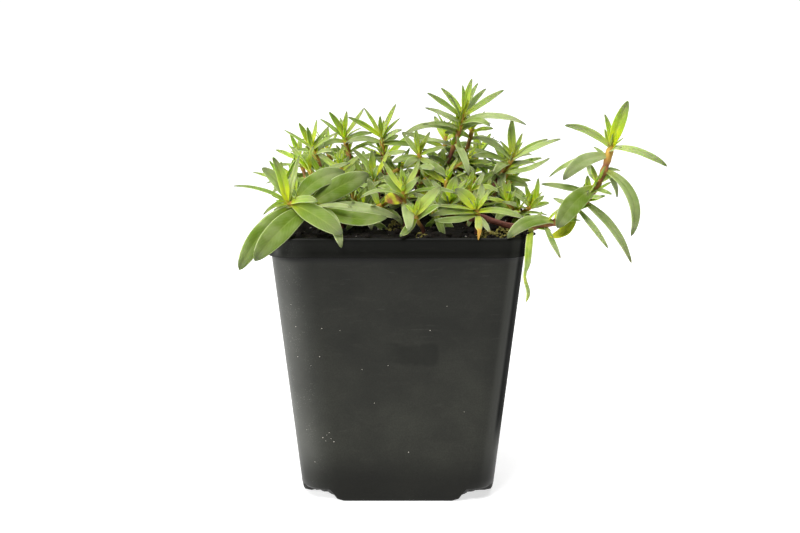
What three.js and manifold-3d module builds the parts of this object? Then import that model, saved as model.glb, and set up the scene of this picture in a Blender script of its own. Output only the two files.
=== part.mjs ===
// A potted creeping gypsophila: a square nursery pot, the soil in it and twenty-eight leafy stems.
// Millimetres, +Z up. The origin is the middle of the pot's flat foot, and -Y is the front.
import * as THREE from "three";
import { mergeVertices } from "three/addons/utils/BufferGeometryUtils.js";
import Module from "manifold-3d";

// The pot: a square nursery pot of the 9 cm kind.
const POT_HEIGHT = 94.4;
const RIM_HALF = 43.6;
const RIM_CORNER = 8;
const RIM_BAND = 6.8;
const RIM_EDGE = 0.6;
const FOOT_HALF = 32.7;
const SHOULDER_HALF = 42.5;
const SHOULDER_Z = POT_HEIGHT - RIM_BAND;
const BODY_CORNER = 9.5;
const POT_WALL = 1.2;
const CORNER_STEPS = 3;

// The foot is a cross: its four corners are raised, each with a drainage hole.
const RAISED_CORNER = [[-1, 21], [1, 22.2], [3.8, 24.4]];
const RAISED_CORNER_END = 46;
const RAISED_CORNER_ROUND = 4;
const DRAIN_AT = 27.2;
const DRAIN_RADIUS = 2.2;
const DRAIN_SIDES = 8;
const DRAIN_CUT = 12;

// The soil lies 0.3 mm clear inside the pot, a little mounded in the middle.
const CLEAR = 0.3;
const SOIL_EDGE_Z = 91.5;
const SOIL_CROWN = 3.6;
const SOIL_LUMPS = 0.8;
const SOIL_CLODS = 0.5;
const SOIL_RINGS = [1.12, 0.8, 0.55, 0.28];

// The stems. Each stands in a hole in the soil.
const STEM_SIDES = 4;
const THICK_STEM_SIDES = 5;
const STEM_STEPS = 2;
const STEM_RADIUS = 0.95;
const STEM_TIP_RADIUS = 0.75;
const STEM_DEPTH = 7;

// The blades: how wide a leaf is at shares of its length, as shares of its full width. It
// narrows to a neck where it grows from the stem, and to a point at its tip.
const BLADE_THICKNESS = 0.9;
const BLADE_FOLD = 0.24;
const NECK_WIDTH = 0.9;
const SHORT_BLADE = [[0, 0], [0.5, 1]];
const MIDDLE_BLADE = [[0, 0], [0.38, 0.96], [0.76, 0.82]];
const LONG_BLADE = [[0, 0], [0.25, 0.76], [0.52, 1], [0.8, 0.76]];
const SHORT_LENGTH = 12;
const LONG_LENGTH = 16;
const LONG_DROOP = 35;
const LEAST_BEND = 1;

// A rosette's pairs of leaves, from the shoot's tip down: distance from the tip,
// pitch towards it in degrees, droop in degrees, and shares of the full length and width.
const ROSETTE = [
  [0.6, 66, 0, 0.64, 0.62],
  [2.2, 43, 14, 0.86, 0.82],
  [5, 25, 32, 1, 0.95],
  [9.5, 9, 42, 1.05, 1.05],
  [14.5, -3, 45, 0.95, 1.05],
  [20, -8, 40, 0.85, 1],
];
const ROSETTE_LENGTH = 16;
const ROSETTE_WIDTH = 3.6;
const ROSETTE_TURNED = 0.35;

// Where a leaf would cross a neighbour, it is bent clear: [lift, swing, share of its length].
const BENDS = [
  [0, 0, 1], [12, 0, 1], [-12, 0, 1], [0, 15, 1], [0, -15, 1], [12, 15, 1], [12, -15, 1],
  [-12, 15, 1], [-12, -15, 1], [24, 0, 1], [-24, 0, 1], [0, 30, 1], [0, -30, 1],
  [24, 25, 0.9], [24, -25, 0.9], [-24, 25, 0.9], [-24, -25, 0.9], [36, 0, 0.85],
  [40, 20, 0.8], [40, -20, 0.8], [0, 0, 0.75], [20, 0, 0.7], [-20, 0, 0.7],
  [50, 0, 0.65], [0, 0, 0.55],
];

// The shoots that the front shows leaf by leaf. A leaf is its distance from the shoot's tip,
// its own tip's x, y and z, its width, its droop in degrees, and how far it is turned from
// level towards facing the front: 1 faces it, and less than 0 turns its underside there.
const DRAWN_SHOOTS = [
  {
    name: "leafy_stem_trailing_right",
    radius: 1.15,
    path: [
      [23.5, -22.5, 88], [24, -22.7, 95], [27.4, -25, 98.2], [32, -27.6, 97.2],
      [37.5, -31, 96.3], [43.5, -34, 96.2], [48.5, -33.5, 97], [52.9, -32, 97.7],
      [57, -29.5, 99.4], [61.5, -27.5, 102.4], [66, -26, 107.5], [69.5, -24.5, 114],
      [71.8, -23, 122],
    ],
    leaves: [
      [0, 77.1, -24, 137.5, 4.3, 6, 1],
      [0, 69.7, -20, 132.5, 2.4, 0, 0.7],
      [0.6, 55.8, -26, 129.5, 3.6, 42, 0.6],
      [0.6, 90.5, -26, 115.6, 3.6, 55, 0.5],
      [2, 74.3, -33, 123, 3.2, 20, 0.3],
      [3.2, 55.2, -31, 111.9, 4.6, 42, 0.8],
      [3.2, 51.8, -12, 109.6, 2.8, 45, 0.6],
      [5, 66.7, -14, 120.4, 1.8, 10, 0.4],
      [8.4, 78.5, -30, 92.6, 4, 95, 0.7],
      [8.4, 75.8, -18, 112.7, 2.6, 30, 0.3],
      [9, 74.3, -22, 104.3, 3.4, 60, 0.5],
      [14.5, 52.8, -40, 97.3, 6.6, 26, 0.85],
      [13, 64.8, -12, 115.2, 2.6, -10, 0.5],
      [15.5, 71.4, -33, 107.3, 2.4, 15, 0.4],
      [17.5, 47.9, -30, 110.3, 2.8, 30, 0.6],
      [19, 67.9, -37, 107, 2.2, 10, 0.5],
      [21, 78.7, -31, 83.5, 3.6, 22, 0.7],
      [24.5, 70.3, -35, 89.4, 2.6, 15, 0.6],
      [25.5, 50.6, -38, 93.8, 4, -55, 0.6],
      [25.5, 53, -18, 103.4, 2.6, 20, 0.3],
      [31, 53.8, -36, 99.6, 4.2, 42, 0.6],
      [34, 36.1, -44, 94.6, 4.6, 70, 0.6],
      [38, 53.9, -42, 87.4, 2.4, 30, 0.5],
      [42.5, 42.3, -48.5, 74, 2, 112, 0.6],
    ],
  },
  {
    name: "leafy_stem_front_left",
    radius: 1,
    path: [
      [-18, -25, 88], [-18.5, -25.5, 95], [-22, -28, 100.5], [-28, -31, 102.6],
      [-37, -36, 105],
    ],
    leaves: [
      [0, -41.3, -38, 120.8, 3.8, 8, 1],
      [0, -38.9, -33, 118.6, 2.4, -6, 0.6],
      [0.6, -32.9, -30, 120.1, 2.2, 35, 0.5],
      [1.2, -54.6, -38, 111, 2.6, 42, 0.3],
      [1.8, -45.4, -30, 115.8, 4.4, 25, 0.8],
      [1.4, -26.3, -43, 106.6, 3.4, 35, 0.6],
      [1.8, -18.4, -46, 96.1, 7, 30, 0.75],
      [4, -52.5, -41, 84.6, 5.4, 60, 0.7],
      [5, -52, -50.5, 85.3, 6.6, 36, 0.8],
      [3, -17.9, -22, 113.1, 6.8, 40, 0.55],
      [7, -43.4, -20, 110.7, 3, 25, 0.3],
      [9.5, -46.8, -51, 88.4, 8, 50, 0.7],
      [8.5, -9.8, -24, 112.7, 7.4, 22, 0.8],
      [11, -3.5, -41, 101, 5.8, -52, 0.6],
      [12, -18.6, -46.8, 91.9, 4.2, 75, 0.5],
      [13, 0.4, -33, 99, 4.4, 18, 0.5],
      [10.5, -15.2, -40, 104.3, 2.6, 20, 0.4],
      [14, -28, -14, 104, 3.4, 30, 0.2],
    ],
  },
  {
    name: "leafy_stem_front_middle",
    radius: 0.9,
    path: [[2.6, -27, 88], [2.6, -27.6, 95], [2.2, -31, 102], [1.7, -34, 109]],
    leaves: [
      [0, 1, -35.5, 117, 2.2, 0, 1],
      [0.3, -5, -30, 118.1, 2.2, -6, 0.7],
      [0.3, 7.4, -30, 119.1, 2.2, -6, 0.7],
      [1.2, -4.7, -30, 113, 4, 25, 0.8],
      [1.2, 6.7, -38, 113.4, 3.4, 15, 0.7],
      [2.2, 4.7, -24, 113.4, 2.8, 20, 0.3],
      [2.6, -12.5, -41, 107.5, 2.2, 56, 0.35],
      [2.6, 20, -36, 108, 2.4, 45, 0.35],
      [4.4, -4.2, -42, 106.7, 4.6, 20, 0.6],
      [5.4, 3.7, -44.6, 97, 4, 42, 0.6],
      [5.4, -5.7, -21, 106.7, 3, 30, 0.3],
    ],
  },
  {
    name: "leafy_stem_front_low",
    radius: 0.8,
    path: [[8.5, -34, 88], [8.5, -34.3, 95], [6.8, -36, 98.4], [5.4, -38, 101.6]],
    leaves: [
      [0, 6, -38, 108, 2, 0, 0.8],
      [0.4, 16, -36, 108.5, 4.4, -10, 0.6],
      [0.6, 4.4, -33, 105.8, 1.8, 0, 0.5],
      [2.6, 14.2, -43, 105.6, 3.2, 15, 0.6],
      [1.6, 1.4, -44.8, 93.6, 3.4, -38, 0.6],
    ],
  },
  {
    name: "leafy_stem_front_right",
    radius: 1,
    path: [[26.5, -30, 88], [26.6, -30.6, 95], [26.8, -32, 98.8], [26.2, -34, 102.6]],
    leaves: [
      [0, 19.1, -32, 109, 4.6, 8, 0.8],
      [0, 30.6, -37, 109.5, 2.4, -25, 0.6],
      [0.4, 28.3, -27, 109.8, 3.2, 5, 0.7],
      [0.6, 12.3, -37, 104.1, 2.4, 20, 0.3],
      [1.2, 10.7, -39, 101.1, 3.6, 15, 0.6],
      [1.2, 42.2, -38, 99.9, 3.4, 30, 0.5],
      [2.2, 11.9, -43.5, 100.6, 3.2, -30, 0.55],
      [2.8, 26.1, -45.4, 94.3, 3, 45, 0.6],
      [3.2, 30.6, -40, 95.6, 2.6, 25, 0.4],
      [0.2, 25.8, -30, 108.3, 1.8, 0, 0.6],
    ],
  },
  {
    name: "leafy_stem_tallest",
    radius: 1,
    path: [
      [13, 2.6, 88], [13.2, 2.7, 95], [14.6, 3.2, 103], [17, 4, 111], [20.4, 5, 120],
      [22.7, 6, 128.9],
    ],
    leaves: [
      [0, 25.8, 8, 141, 2.8, -5, 0.9],
      [0, 22.4, 4, 139.3, 2.2, 0, 0.8],
      [0.6, 28.1, 12, 139, 2.4, 5, 0.6],
      [0.6, 15.1, 10, 137.5, 2.8, 10, 0.7],
      [1.4, 10.1, 2, 136.8, 3.2, 20, 0.5],
      [1.4, 36.9, 6, 137.3, 3.2, 15, 0.5],
      [2.2, 31.1, 17, 136.4, 2.8, 10, 0.6],
      [2.2, 17.5, -4, 137, 2.6, 12, 0.5],
      [3, 9.3, -4, 132.4, 3.4, 25, 0.4],
      [3.2, 44.2, -4, 126.5, 3.8, 55, 0.4],
      [3.8, 31.6, -8, 126.7, 3.2, 40, 0.4],
      [4.6, 13, 19, 128, 3.4, 30, 0.2],
      [5, 8.6, -7, 127.1, 3.2, 35, 0.4],
      [6, 33, 17, 124, 3.4, 40, 0.3],
      [7, 1.7, -9, 123.5, 3.6, 50, 0.4],
      [10.5, 24.5, -6.5, 109, 3, 50, 0.9],
      [12, 6, 12, 118, 3, 40, 0.2],
    ],
  },
  {
    name: "leafy_stem_right",
    radius: 0.9,
    path: [
      [30, -2, 88], [30.3, -1.8, 95], [33.4, 0, 104.5], [37.6, 2.4, 110], [40.4, 4, 114.4],
    ],
    leaves: [
      [0, 39.8, 5, 127.4, 3.4, 0, 0.9],
      [0.3, 43.7, 9, 121.7, 1.8, 5, 0.6],
      [0.3, 35.5, 2, 120, 2.2, 5, 0.6],
      [0.8, 52.3, 2, 120.7, 3, 14, 0.5],
      [0.8, 31.3, 14, 118.9, 3, 16, 0.5],
      [1.6, 56.2, -6, 121.9, 3.5, 14, 0.4],
      [1.4, 26.6, -3, 122.1, 3.4, 22, 0.6],
      [2, 48, 20, 112, 3.2, 35, 0.4],
      [3, 25.2, -7, 115.8, 3.2, 30, 0.45],
      [3.4, 25.6, 16, 115.3, 2.4, 25, 0.3],
      [3.2, 33, -10, 110.3, 3.2, 25, 0.5],
      [7, 52.3, -8, 115.6, 3.3, -36, 0.4],
      [6.6, 35.6, -8, 103.4, 3.2, 15, 0.6],
      [6, 50, 12, 110, 3.4, 45, 0.3],
    ],
  },
  {
    name: "leafy_stem_right_edge",
    radius: 0.8,
    path: [[37, -17, 88], [37.2, -17, 94.5], [41.5, -18.4, 97.8], [45.6, -20, 101]],
    leaves: [
      [0, 47.6, -21, 110.8, 2.4, -5, 0.8],
      [0, 43.1, -20, 108.6, 2.4, -5, 0.7],
      [0.6, 49.3, -26, 105.5, 3, 10, 0.6],
      [0.6, 47.1, -12, 105.6, 2.4, 0, 0.5],
      [1, 36.6, -22, 106.2, 2.8, 30, 0.4],
      [2, 35.1, -27, 103.7, 2.6, 15, 0.4],
      [2.4, 52, -12, 100.6, 3, 25, 0.3],
    ],
  },
  {
    name: "leafy_stem_back_left",
    radius: 0.9,
    path: [[-13, 17, 88], [-13, 17, 95], [-15.9, 20.2, 105.7], [-19.4, 24, 118.4]],
    leaves: [
      [0, -18.3, 24, 127.4, 2.2, 0, 0.8],
      [0.2, -24.6, 22, 127.4, 2.8, -6, 0.7],
      [0.4, -12.2, 26, 128.2, 2.2, -8, 0.5],
      [0.6, -20.9, 30, 124.1, 1.8, 0, 0.5],
      [0.8, -28, 26, 124.3, 2.4, 15, 0.4],
      [1.2, -13.1, 16, 122.3, 2.4, 25, 0.3],
      [2, -9.4, 30, 118.6, 3, 35, 0.4],
      [2.4, -27.9, 20, 114.3, 3, 60, 0.5],
      [2.8, -16.3, 12, 117.4, 2.6, 30, 0.4],
      [3.4, -20, 37, 116, 3.4, 40, 0.3],
      [6.5, -6, 18, 117, 3.4, 40, 0.3],
      [7, -28, 28, 112, 3.4, 40, 0.3],
    ],
  },
  {
    name: "leafy_stem_middle",
    radius: 0.9,
    path: [[-4, 7, 88], [-4, 7, 95], [-4.8, 8.4, 106.5], [-5.8, 10, 120.2]],
    leaves: [
      [0, -0.7, 10, 131.9, 2.2, -4, 0.7],
      [0.2, -17.5, 6, 127.8, 2.8, 6, 0.6],
      [0.2, -6.3, 9, 127.8, 2, 0, 0.8],
      [0.5, -12, 14, 129.9, 2, 4, 0.4],
      [0.6, 0.7, 14, 126.3, 1.8, 4, 0.4],
      [0.8, -3.5, 4, 128.5, 1.8, 0, 0.6],
      [1.8, 1.4, 4, 123.5, 3, 22, 0.5],
      [2.2, -18.2, 4, 119, 3.2, 50, 0.5],
      [2.4, 7.7, 8, 117.3, 3.4, 34, 0.4],
      [2.6, -16.4, 20, 120.1, 2.6, 40, 0.3],
      [3.4, 0, 22, 119, 3.2, 40, 0.3],
      [5.6, -11.1, 0, 119.3, 2.6, 20, 0.3],
      [7, 3.1, -2, 116.7, 3.2, 30, 0.4],
      [7, -14.3, 0, 113.6, 3.2, 30, 0.4],
    ],
  },
  {
    name: "leafy_stem_left_back",
    radius: 0.9,
    path: [[-21, 10, 88], [-21, 10, 95], [-25.4, 11.8, 104.5], [-30.8, 14, 116.4]],
    leaves: [
      [0, -35, 14, 124.6, 2.6, -4, 0.7],
      [0, -28.6, 14, 125.8, 2.2, 0, 0.6],
      [0.4, -32, 10, 123.7, 2.4, 0, 0.8],
      [0.8, -24.5, 18, 122.9, 2.4, 5, 0.4],
      [0.8, -40.5, 18, 121.5, 2, 8, 0.3],
      [1.6, -21.1, 8, 121.9, 2.8, 25, 0.4],
      [2.4, -39, 6, 105.5, 3, 70, 0.5],
      [2.4, -38.7, 22, 112.9, 2.6, 20, 0.3],
      [3.4, -22.4, 6, 115.5, 3, 40, 0.4],
      [3.6, -27, 25, 117, 3.2, 40, 0.3],
      [6, -34.2, 2, 111.5, 3, 40, 0.4],
    ],
  },
  {
    name: "leafy_stem_centre",
    radius: 0.9,
    path: [[6, -1, 88], [6, -1, 95], [6.7, -0.1, 104.7], [7.5, 1, 116.3]],
    leaves: [
      [0, 6.3, 2, 124.2, 2.4, 0, 0.7],
      [0, 11.1, -1, 123.6, 2.2, 0, 0.7],
      [0.4, 9.1, 6, 120.8, 1.8, 0, 0.6],
      [1.2, 1.4, 8, 121.9, 2.6, 10, 0.4],
      [1.2, 17, -3, 118.6, 3, 24, 0.4],
      [1.8, -2.1, -4, 115.3, 3.4, 40, 0.4],
      [2.2, 17.6, -10, 109, 3.6, 30, 0.5],
      [2.6, 2.1, -12, 112.8, 3.4, 45, 0.5],
      [5.4, 12.7, -12, 112.1, 3.4, 35, 0.5],
      [5.8, 12, 13, 112, 3.2, 40, 0.3],
    ],
  },
  {
    name: "leafy_stem_centre_front",
    radius: 0.85,
    path: [[-5, -11, 88], [-5, -11, 95], [-6.4, -12.4, 101.8], [-8.2, -14, 109.6]],
    leaves: [
      [0, -2.7, -14, 120.4, 2, -8, 0.6],
      [0, -8.9, -13, 119.2, 3, 0, 0.8],
      [0.6, -15.7, -15, 119.8, 2.8, 30, 0.6],
      [0.8, -6.8, -20, 115.1, 2, 0, 0.8],
      [1.6, -14.9, -20, 112, 3, 20, 0.4],
      [1.8, -1, -18, 109.6, 3, 30, 0.5],
      [3, -11.8, -24, 100.7, 3.4, 60, 0.5],
      [3.4, -1.7, -24, 105.9, 3, 45, 0.4],
      [4, -9, 0, 110, 3, 30, 0.3],
      [5, -18, -9, 106.8, 3.2, 30, 0.3],
    ],
  },
  {
    name: "leafy_stem_front_right_inner",
    radius: 0.8,
    path: [[15, -19, 88], [15, -19, 95], [16.2, -20.8, 98.4], [17.6, -23, 102.6]],
    leaves: [
      [0, 19.7, -21, 111.5, 4, 6, 0.8],
      [0, 14.2, -25, 107.7, 2.2, -5, 0.7],
      [0.5, 23.7, -24, 111, 2.2, 10, 0.5],
      [0.8, 11.3, -18, 109.6, 3, 14, 0.5],
      [1.4, 10.8, -28, 104.2, 2.8, 20, 0.4],
      [1.6, 22.9, -28, 105.5, 3, 20, 0.4],
      [2.4, 26.1, -14, 102, 3, 20, 0.3],
    ],
  },
  {
    name: "leafy_stem_centre_right",
    radius: 0.8,
    path: [[25, -12, 88], [25, -12, 95], [24.8, -13.3, 100], [24.6, -15, 106]],
    leaves: [
      [0, 26, -15, 112.6, 2, 0, 0.8],
      [0, 22.9, -14, 110.3, 1.8, 0, 0.6],
      [0.6, 34.8, -18, 105.1, 2.6, 55, 0.5],
      [0.8, 18.4, -18, 107.2, 2.8, 30, 0.4],
      [1.2, 29.7, -6, 110.4, 2.6, 0, 0.4],
      [1.6, 31.3, -21, 103.1, 2.8, 35, 0.4],
    ],
  },
];

// The other shoots carry rosettes by rule: where they root, their tip, the heading of the
// first pair in degrees, how many pairs, their size, and the seed of their small differences.
const ROSETTE_SHOOTS = [
  ["leafy_stem_front_left_inner", [-10, -20], [-15.5, -25, 106.5], 20, 4, 0.7, 11],
  ["leafy_stem_left", [-22, -6], [-31, -8, 112], 15, 6, 0.95, 17],
  ["leafy_stem_second_tallest", [19, 11], [26.5, 15, 123], 40, 6, 0.85, 21],
  ["leafy_stem_back_right", [13, 20], [17.5, 26.5, 118.5], 30, 6, 1, 22],
  ["leafy_stem_left_rear", [-20, 25], [-26, 32, 113], 50, 5, 0.9, 23],
  ["leafy_stem_left_middle", [-15, -2], [-20, -3, 112], 55, 6, 0.85, 24],
  ["leafy_stem_corner_back_left", [-30, 24], [-36, 31, 110], 45, 5, 0.9, 25],
  ["leafy_stem_back", [-4, 28], [-5, 36.5, 110], 85, 5, 0.95, 26],
  ["leafy_stem_corner_back_right", [24, 28], [29, 36, 110], 20, 5, 0.95, 27],
  ["leafy_stem_right_rear", [32, 17], [40, 22, 108.5], 65, 5, 0.9, 28],
  ["leafy_stem_left_edge", [-32, 3], [-41, 4, 106], 75, 5, 0.85, 29],
  ["leafy_stem_centre_low", [15, -7], [17, -9, 108.5], 60, 5, 0.85, 31],
  ["leafy_stem_left_low", [-28, -17], [-35, -19, 104.5], 30, 4, 0.75, 32],
];

const MATERIALS = {
  pot: new THREE.MeshStandardMaterial({ color: 0x2b2d2b, roughness: 0.5, metalness: 0 }),
  soil: new THREE.MeshStandardMaterial({ color: 0x241a12, roughness: 1, metalness: 0 }),
  leaf: new THREE.MeshStandardMaterial({ color: 0x7fae3f, roughness: 0.55, metalness: 0 }),
};

const UP = new THREE.Vector3(0, 0, 1);
const ALONG_X = new THREE.Vector3(1, 0, 0);
const FRONT = new THREE.Vector3(0, -0.98, 0.2);
const radians = THREE.MathUtils.degToRad;

const wasm = await Module();
wasm.setup();

// A closed solid through rings of equally many points, counterclockwise seen from its far
// end. A ring of one point closes it to a tip. The second half of each band is split the
// other way, so that the two faces of a blade are split alike.
function loft(rings) {
  const starts = [];
  const points = [];
  for (const ring of rings) {
    starts.push(points.length);
    points.push(...ring);
  }
  const faces = [];
  for (let band = 0; band + 1 < rings.length; band++) {
    const sides = Math.max(rings[band].length, rings[band + 1].length);
    const low = (side) => starts[band] + (side % rings[band].length);
    const high = (side) => starts[band + 1] + (side % rings[band + 1].length);
    for (let side = 0; side < sides; side++) {
      if (rings[band].length === 1) {
        faces.push([low(0), high(side + 1), high(side)]);
      } else if (rings[band + 1].length === 1) {
        faces.push([low(side), low(side + 1), high(0)]);
      } else if (side < sides / 2) {
        faces.push([low(side), low(side + 1), high(side + 1)]);
        faces.push([low(side), high(side + 1), high(side)]);
      } else {
        faces.push([low(side), low(side + 1), high(side)]);
        faces.push([low(side + 1), high(side + 1), high(side)]);
      }
    }
  }
  const last = rings.length - 1;
  for (let side = 1; side + 1 < rings[0].length; side++) {
    faces.push([starts[0], starts[0] + side + 1, starts[0] + side]);
  }
  for (let side = 1; side + 1 < rings[last].length; side++) {
    faces.push([starts[last], starts[last] + side, starts[last] + side + 1]);
  }
  const vertProperties = new Float32Array(points.flatMap((point) => point.toArray()));
  const triVerts = new Uint32Array(faces.flat());
  return new wasm.Manifold(new wasm.Mesh({ numProp: 3, vertProperties, triVerts }));
}

// The solid of a closed three.js geometry.
function solidOf(geometry) {
  geometry.deleteAttribute("normal");
  geometry.deleteAttribute("uv");
  const merged = mergeVertices(geometry);
  const vertProperties = merged.attributes.position.array;
  const triVerts = new Uint32Array(merged.index.array);
  return new wasm.Manifold(new wasm.Mesh({ numProp: 3, vertProperties, triVerts }));
}

// The mesh of a solid, with flat faces.
function meshOf(solid, name, material) {
  const { numProp, vertProperties, triVerts } = solid.getMesh();
  const geometry = new THREE.BufferGeometry();
  geometry.setAttribute("position", new THREE.BufferAttribute(vertProperties, numProp));
  geometry.setIndex(new THREE.BufferAttribute(triVerts, 1));
  const flat = geometry.toNonIndexed();
  flat.computeVertexNormals();
  const mesh = new THREE.Mesh(flat, material);
  mesh.name = name;
  return mesh;
}

// A square ring with rounded corners at height z, round the point (cx, cy).
function roundedSquare(half, corner, z, cx = 0, cy = 0) {
  const ring = [];
  for (let quarter = 0; quarter < 4; quarter++) {
    for (let step = 0; step <= CORNER_STEPS; step++) {
      const angle = (quarter + step / CORNER_STEPS) * Math.PI / 2;
      const centre = radians(45 + 90 * quarter);
      const reach = (half - corner) * Math.SQRT2;
      ring.push(new THREE.Vector3(
        cx + reach * Math.cos(centre) + corner * Math.cos(angle),
        cy + reach * Math.sin(centre) + corner * Math.sin(angle),
        z,
      ));
    }
  }
  return ring;
}

// The pot's straight wall: half its outer width at height z.
function bodyHalf(z) {
  return FOOT_HALF + (SHOULDER_HALF - FOOT_HALF) * z / SHOULDER_Z;
}

// Everything under the four raised corners, set back by `inset` and lifted by `lift`.
function raisedCorners(inset, lift) {
  const blocks = [];
  for (const [sx, sy] of [[1, 1], [-1, 1], [-1, -1], [1, -1]]) {
    const rings = RAISED_CORNER.map(([z, start]) => {
      const half = (RAISED_CORNER_END - start + inset) / 2;
      const centre = (RAISED_CORNER_END + start - inset) / 2;
      return roundedSquare(half, RAISED_CORNER_ROUND, z + lift, sx * centre, sy * centre);
    });
    blocks.push(loft(rings));
  }
  return blocks.reduce((all, block) => all.add(block));
}

// What fills the pot up to height `top`, `inset` in from the outside of its wall.
function potFilling(inset, top) {
  const floor = inset;
  const corner = BODY_CORNER - inset;
  const block = loft([
    roundedSquare(bodyHalf(floor) - inset, corner, floor),
    roundedSquare(bodyHalf(top) - inset, corner, top),
  ]);
  return block.subtract(raisedCorners(inset * 0.75, inset));
}

function buildPot() {
  const outside = loft([
    roundedSquare(FOOT_HALF, BODY_CORNER, 0),
    roundedSquare(SHOULDER_HALF, BODY_CORNER, SHOULDER_Z),
    roundedSquare(RIM_HALF, RIM_CORNER, SHOULDER_Z),
    roundedSquare(RIM_HALF, RIM_CORNER, POT_HEIGHT - RIM_EDGE),
    roundedSquare(RIM_HALF - RIM_EDGE, RIM_CORNER - RIM_EDGE, POT_HEIGHT),
  ]);
  let pot = outside.subtract(raisedCorners(0, 0));
  pot = pot.subtract(potFilling(POT_WALL, POT_HEIGHT + 1));
  for (const [sx, sy] of [[1, 1], [-1, 1], [-1, -1], [1, -1]]) {
    const drain = new THREE.CylinderGeometry(DRAIN_RADIUS, DRAIN_RADIUS, DRAIN_CUT, DRAIN_SIDES);
    drain.rotateX(Math.PI / 2);
    drain.translate(sx * DRAIN_AT, sy * DRAIN_AT, 0);
    pot = pot.subtract(solidOf(drain));
  }
  return pot;
}

// The height of the soil's uneven top.
function soilHeight(x, y) {
  const crown = SOIL_CROWN * (1 - (x * x + y * y) / (2 * RIM_HALF * RIM_HALF));
  const lumps = SOIL_LUMPS * Math.sin(0.31 * x + 1) * Math.cos(0.27 * y);
  const clods = SOIL_CLODS * Math.sin(0.73 * x + 0.41 * y);
  return SOIL_EDGE_Z + crown + lumps + clods;
}

function buildSoil(holes) {
  const inset = POT_WALL + CLEAR;
  const edge = roundedSquare(bodyHalf(SOIL_EDGE_Z) - inset, BODY_CORNER - inset, 0);
  const topRing = (share) => edge.map(({ x, y }) => {
    return new THREE.Vector3(x * share, y * share, soilHeight(x * share, y * share));
  });
  const filling = loft([
    roundedSquare(bodyHalf(0), BODY_CORNER, 0),
    roundedSquare(RIM_HALF, BODY_CORNER, SOIL_EDGE_Z - 3),
    ...SOIL_RINGS.map(topRing),
    [new THREE.Vector3(0, 0, soilHeight(0, 0))],
  ]);
  const soil = filling.intersect(potFilling(inset, POT_HEIGHT + 5));
  return holes.reduce((rest, hole) => rest.subtract(hole), soil);
}

// Small steady differences: numbers from 0 to 1 that are the same at every run.
function seededNumbers(seed) {
  let state = seed * 7919;
  return () => {
    state = (state * 1664525 + 1013904223) % 4294967296;
    return state / 4294967296;
  };
}

// A smooth line through the points of a stem's path, straight in the soil.
function smoothLine(path) {
  const points = path.map((point) => new THREE.Vector3(...point));
  const line = [];
  for (let span = 0; span + 1 < points.length; span++) {
    const before = points[Math.max(span - 1, 0)];
    const after = points[Math.min(span + 2, points.length - 1)];
    const steps = span === 0 ? 1 : STEM_STEPS;
    for (let step = 0; step < steps; step++) {
      const t = step / steps;
      const leave = points[span + 1].clone().sub(before).multiplyScalar(0.5);
      const arrive = after.clone().sub(points[span]).multiplyScalar(0.5);
      line.push(points[span].clone().multiplyScalar(2 * t ** 3 - 3 * t ** 2 + 1)
        .addScaledVector(leave, t ** 3 - 2 * t ** 2 + t)
        .addScaledVector(points[span + 1], 3 * t ** 2 - 2 * t ** 3)
        .addScaledVector(arrive, t ** 3 - t ** 2));
    }
  }
  line.push(points.at(-1));
  return line;
}

// A round tapering stem along a line, thicker all over by `extra` and longer at its foot.
function stemSolid(line, radius, extra = 0) {
  const side = ALONG_X.clone();
  const front = new THREE.Vector3();
  const sides = radius > STEM_RADIUS ? THICK_STEM_SIDES : STEM_SIDES;
  const rings = line.map((point, i) => {
    const before = line[Math.max(i - 1, 0)];
    const after = line[Math.min(i + 1, line.length - 1)];
    const along = after.clone().sub(before).normalize();
    side.addScaledVector(along, -side.dot(along)).normalize();
    front.crossVectors(along, side);
    const share = i / (line.length - 1);
    const reach = THREE.MathUtils.lerp(radius, STEM_TIP_RADIUS, share ** 2) + extra;
    const centre = i === 0 ? point.clone().addScaledVector(UP, -extra) : point;
    const ring = [];
    for (let k = 0; k < sides; k++) {
      const angle = 2 * Math.PI * k / sides;
      ring.push(centre.clone()
        .addScaledVector(side, reach * Math.cos(angle))
        .addScaledVector(front, reach * Math.sin(angle)));
    }
    return ring;
  });
  return loft(rings);
}

// The point of a line that lies `back` mm from its end, and the line's direction there.
function pointFromTip(line, back) {
  let rest = back;
  for (let i = line.length - 1; i > 0; i--) {
    const step = line[i].clone().sub(line[i - 1]);
    const length = step.length();
    const along = step.divideScalar(length);
    if (rest <= length || i === 1) {
      return { base: line[i].clone().addScaledVector(along, -rest), along };
    }
    rest -= length;
  }
}

// A leaf's droop in radians, never quite 0, so that its blade is always an arc.
function bendOf(droop) {
  return radians(Math.abs(droop) < LEAST_BEND ? LEAST_BEND : droop);
}

// The roll that turns a leaf's upper face from level towards the front by the given share.
function turnedRoll(heading, rise, turned) {
  const { level, back } = axesOf(heading, rise);
  const seen = turned < 0 ? -1 : 1;
  const facing = Math.atan2(-seen * level.dot(FRONT), seen * back.dot(FRONT));
  return Math.abs(turned) * facing;
}

// A leaf that ends at a given tip: its heading, rise and length follow from its droop, and
// its roll from how far it is turned to the front.
function drawnLeaf(line, [back, x, y, z, width, droop, turned]) {
  const { base } = pointFromTip(line, back);
  const chord = new THREE.Vector3(x, y, z).sub(base);
  const bend = bendOf(droop);
  const heading = Math.atan2(chord.y, chord.x);
  const middleRise = Math.atan2(chord.z, Math.hypot(chord.x, chord.y));
  return {
    base,
    heading,
    rise: middleRise + bend / 2,
    droop: bend,
    length: chord.length() * (bend / 2) / Math.sin(bend / 2),
    width,
    roll: turnedRoll(heading, middleRise, turned),
  };
}

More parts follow.
